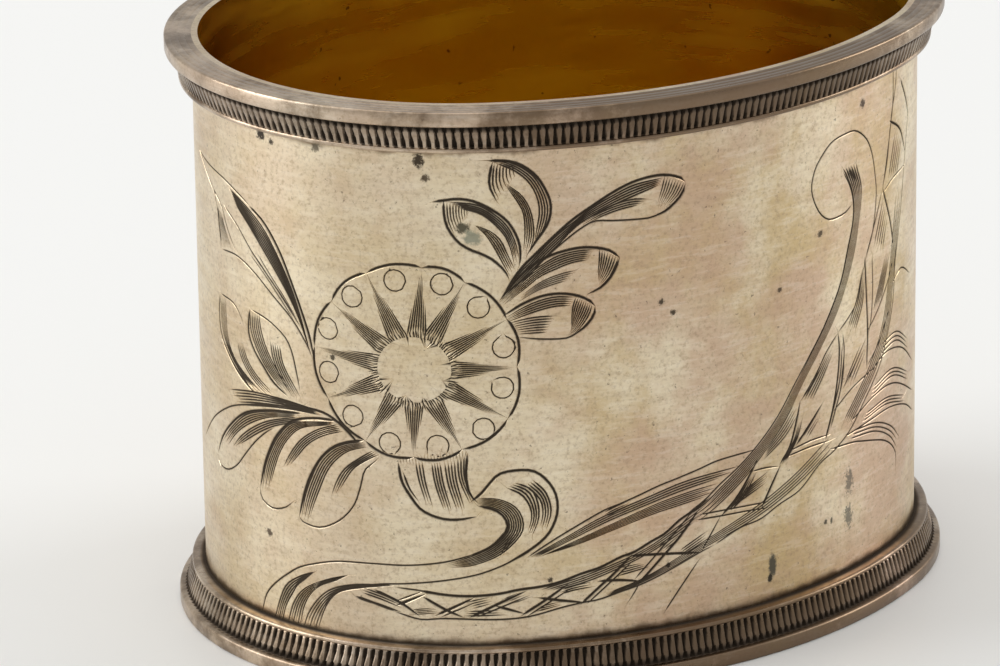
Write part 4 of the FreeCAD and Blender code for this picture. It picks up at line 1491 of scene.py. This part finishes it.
@dataclass
class Studio:
    """A pale floor, a white surround and soft lamps."""

    floor_size: float = 6.0
    floor_colour: Triple = (0.85, 0.85, 0.84)
    floor_roughness: float = 0.45
    floor_shine: float = 0.3
    backdrop: Triple = (0.86, 0.865, 0.84)
    fill_colour: Triple = (1.0, 1.0, 0.985)
    fill: float = 0.62
    lamps: tuple[Lamp, ...] = (
        Lamp("left_softbox", (-0.70, 0.42, 0.42), (0.6, 0.7), 4.6),
        Lamp("top_softbox", (0.10, 0.20, 0.9), (0.9, 0.7), 1.5),
        Lamp("right_softbox", (0.8, -0.20, 0.36), (0.4, 0.5), 3.0),
    )

    def build(self) -> None:
        """Build the floor, the surround and the lamps."""
        work = bmesh.new()
        bmesh.ops.create_grid(work, x_segments=1, y_segments=1, size=self.floor_size / 2.0)
        shape = bpy.data.meshes.new("floor")
        work.to_mesh(shape)
        work.free()
        floor = bpy.data.objects.new("floor", shape)
        bpy.context.scene.collection.objects.link(floor)
        bench = NodeBench("pale_floor")
        bench.dress("Base Color", (*self.floor_colour, 1.0))
        bench.dress("Roughness", self.floor_roughness)
        bench.dress("Specular IOR Level", self.floor_shine)
        shape.materials.append(bench.material)
        self.surround()
        for lamp in self.lamps:
            lamp.make()
        bpy.context.scene.view_settings.view_transform = "Standard"

    def surround(self) -> None:
        """Make the world: a white backdrop for the camera to look at, and an even fill for all else."""
        world = bpy.data.worlds.new("studio")
        world.use_nodes = True
        bpy.context.scene.world = world
        tree = world.node_tree
        ground = tree.nodes["Background"]
        ground.inputs["Color"].default_value = (*self.fill_colour, 1.0)
        ground.inputs["Strength"].default_value = self.fill
        white = tree.nodes.new("ShaderNodeBackground")
        white.inputs["Color"].default_value = (*self.backdrop, 1.0)
        path = tree.nodes.new("ShaderNodeLightPath")
        mix = tree.nodes.new("ShaderNodeMixShader")
        tree.links.new(path.outputs["Is Camera Ray"], mix.inputs[0])
        tree.links.new(ground.outputs[0], mix.inputs[1])
        tree.links.new(white.outputs[0], mix.inputs[2])
        tree.links.new(mix.outputs[0], tree.nodes["World Output"].inputs["Surface"])


WALL_STAINS = (
    Stain(-31.2, 34.2, 0.42, SOOT, 0.95),
    Stain(-30.3, 33.9, 0.22, SOOT),
    Stain(-26.8, 34.2, 0.35, (0.10, 0.08, 0.05), 0.8),
    Stain(-20.1, 34.0, 0.36, (0.03, 0.018, 0.008), 0.95, 1.4),
    Stain(-19.7, 32.9, 0.3, (0.05, 0.03, 0.014), tall=0.8),
    Stain(-17.5, 29.8, 0.42, (0.045, 0.04, 0.02)),
    Stain(-16.9, 29.2, 0.55, (0.16, 0.19, 0.14), 0.7),
    Stain(11.7, 33.2, 0.3, (0.05, 0.025, 0.012)),
    Stain(-5.1, 24.0, 0.22),
    Stain(-4.3, 23.2, 0.2),
    Stain(-31.3, 8.3, 0.28, (0.06, 0.035, 0.02)),
    Stain(-12.4, 6.8, 0.18, SOOT),
    Stain(7.9, 6.7, 0.2),
    Stain(-4.7, 6.8, 0.2),
    Stain(7.3, 25.9, 0.25, RUST),
    Stain(3.7, 23.1, 0.2, RUST),
    Stain(-25.9, 20.9, 0.2),
    Stain(3.1, 5.1, 0.36, (0.06, 0.055, 0.04), 0.95, 2.4, 0.25),
    Stain(2.9, 4.3, 0.22, (0.01, 0.008, 0.005), 0.95, 1.5, 0.25),
    Stain(10.4, 8.6, 0.4, (0.13, 0.11, 0.08), 0.8, 2.6, 0.9),
    Stain(10.3, 6.4, 0.4, (0.12, 0.11, 0.08), 0.8, 2.0, 0.9),
    Stain(8.5, 6.6, 0.14, (0.06, 0.05, 0.03), tall=1.6),
)

# The sleeve's painted shade lines sit where the wall meets each rim.
SLEEVE_SILVER = TarnishedSilver(shade_levels=(2.8, 34.7), stains=WALL_STAINS)
# The rims get brown tarnish, with painted shade across the front middle.
WIRE_SILVER = TarnishedSilver(
    name="worn_silver_wire", cream=(0.62, 0.51, 0.39), ochre=(0.50, 0.36, 0.22), rose=(0.48, 0.34, 0.26),
    roughness=0.3, tarnish_and_shade_strength=0.85, speckle=0.35)


def show(piece: bpy.types.Object, node: str) -> None:
    """Put a piece in the scene in place of its CAD node. Args: the piece and the node."""
    bpy.context.scene.collection.objects.link(piece)
    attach(piece, "root")
    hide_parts(node)
    LOG.info("%s: %d triangles", piece.name, sum(len(face.vertices) - 2 for face in piece.data.polygons))


def main() -> None:
    """Build the camera, the studio and every piece of the ring."""
    logging.basicConfig(level=logging.INFO)
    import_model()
    PhotoCamera().make()
    Studio().build()
    oval = Oval()
    graver = Graver()
    Flower().draw(graver)
    for motif in UPPER_LEAVES + LEFT_LEAVES + STEM + RIBBON:
        motif.draw(graver)
    sleeve = EngravedSleeve(oval)
    silver = SLEEVE_SILVER.make(oval, sleeve.cut_and_shade_attribute)
    wire = WIRE_SILVER.make(oval, sleeve.cut_and_shade_attribute)
    show(sleeve.build(graver.strokes, silver, WornGilding().make()), "sleeve")
    show(MilledRim(RingEnd.LOWER, oval).build(wire), "lower_rim")
    show(MilledRim(RingEnd.UPPER, oval).build(wire), "upper_rim")


if __name__ == "__main__":
    main()
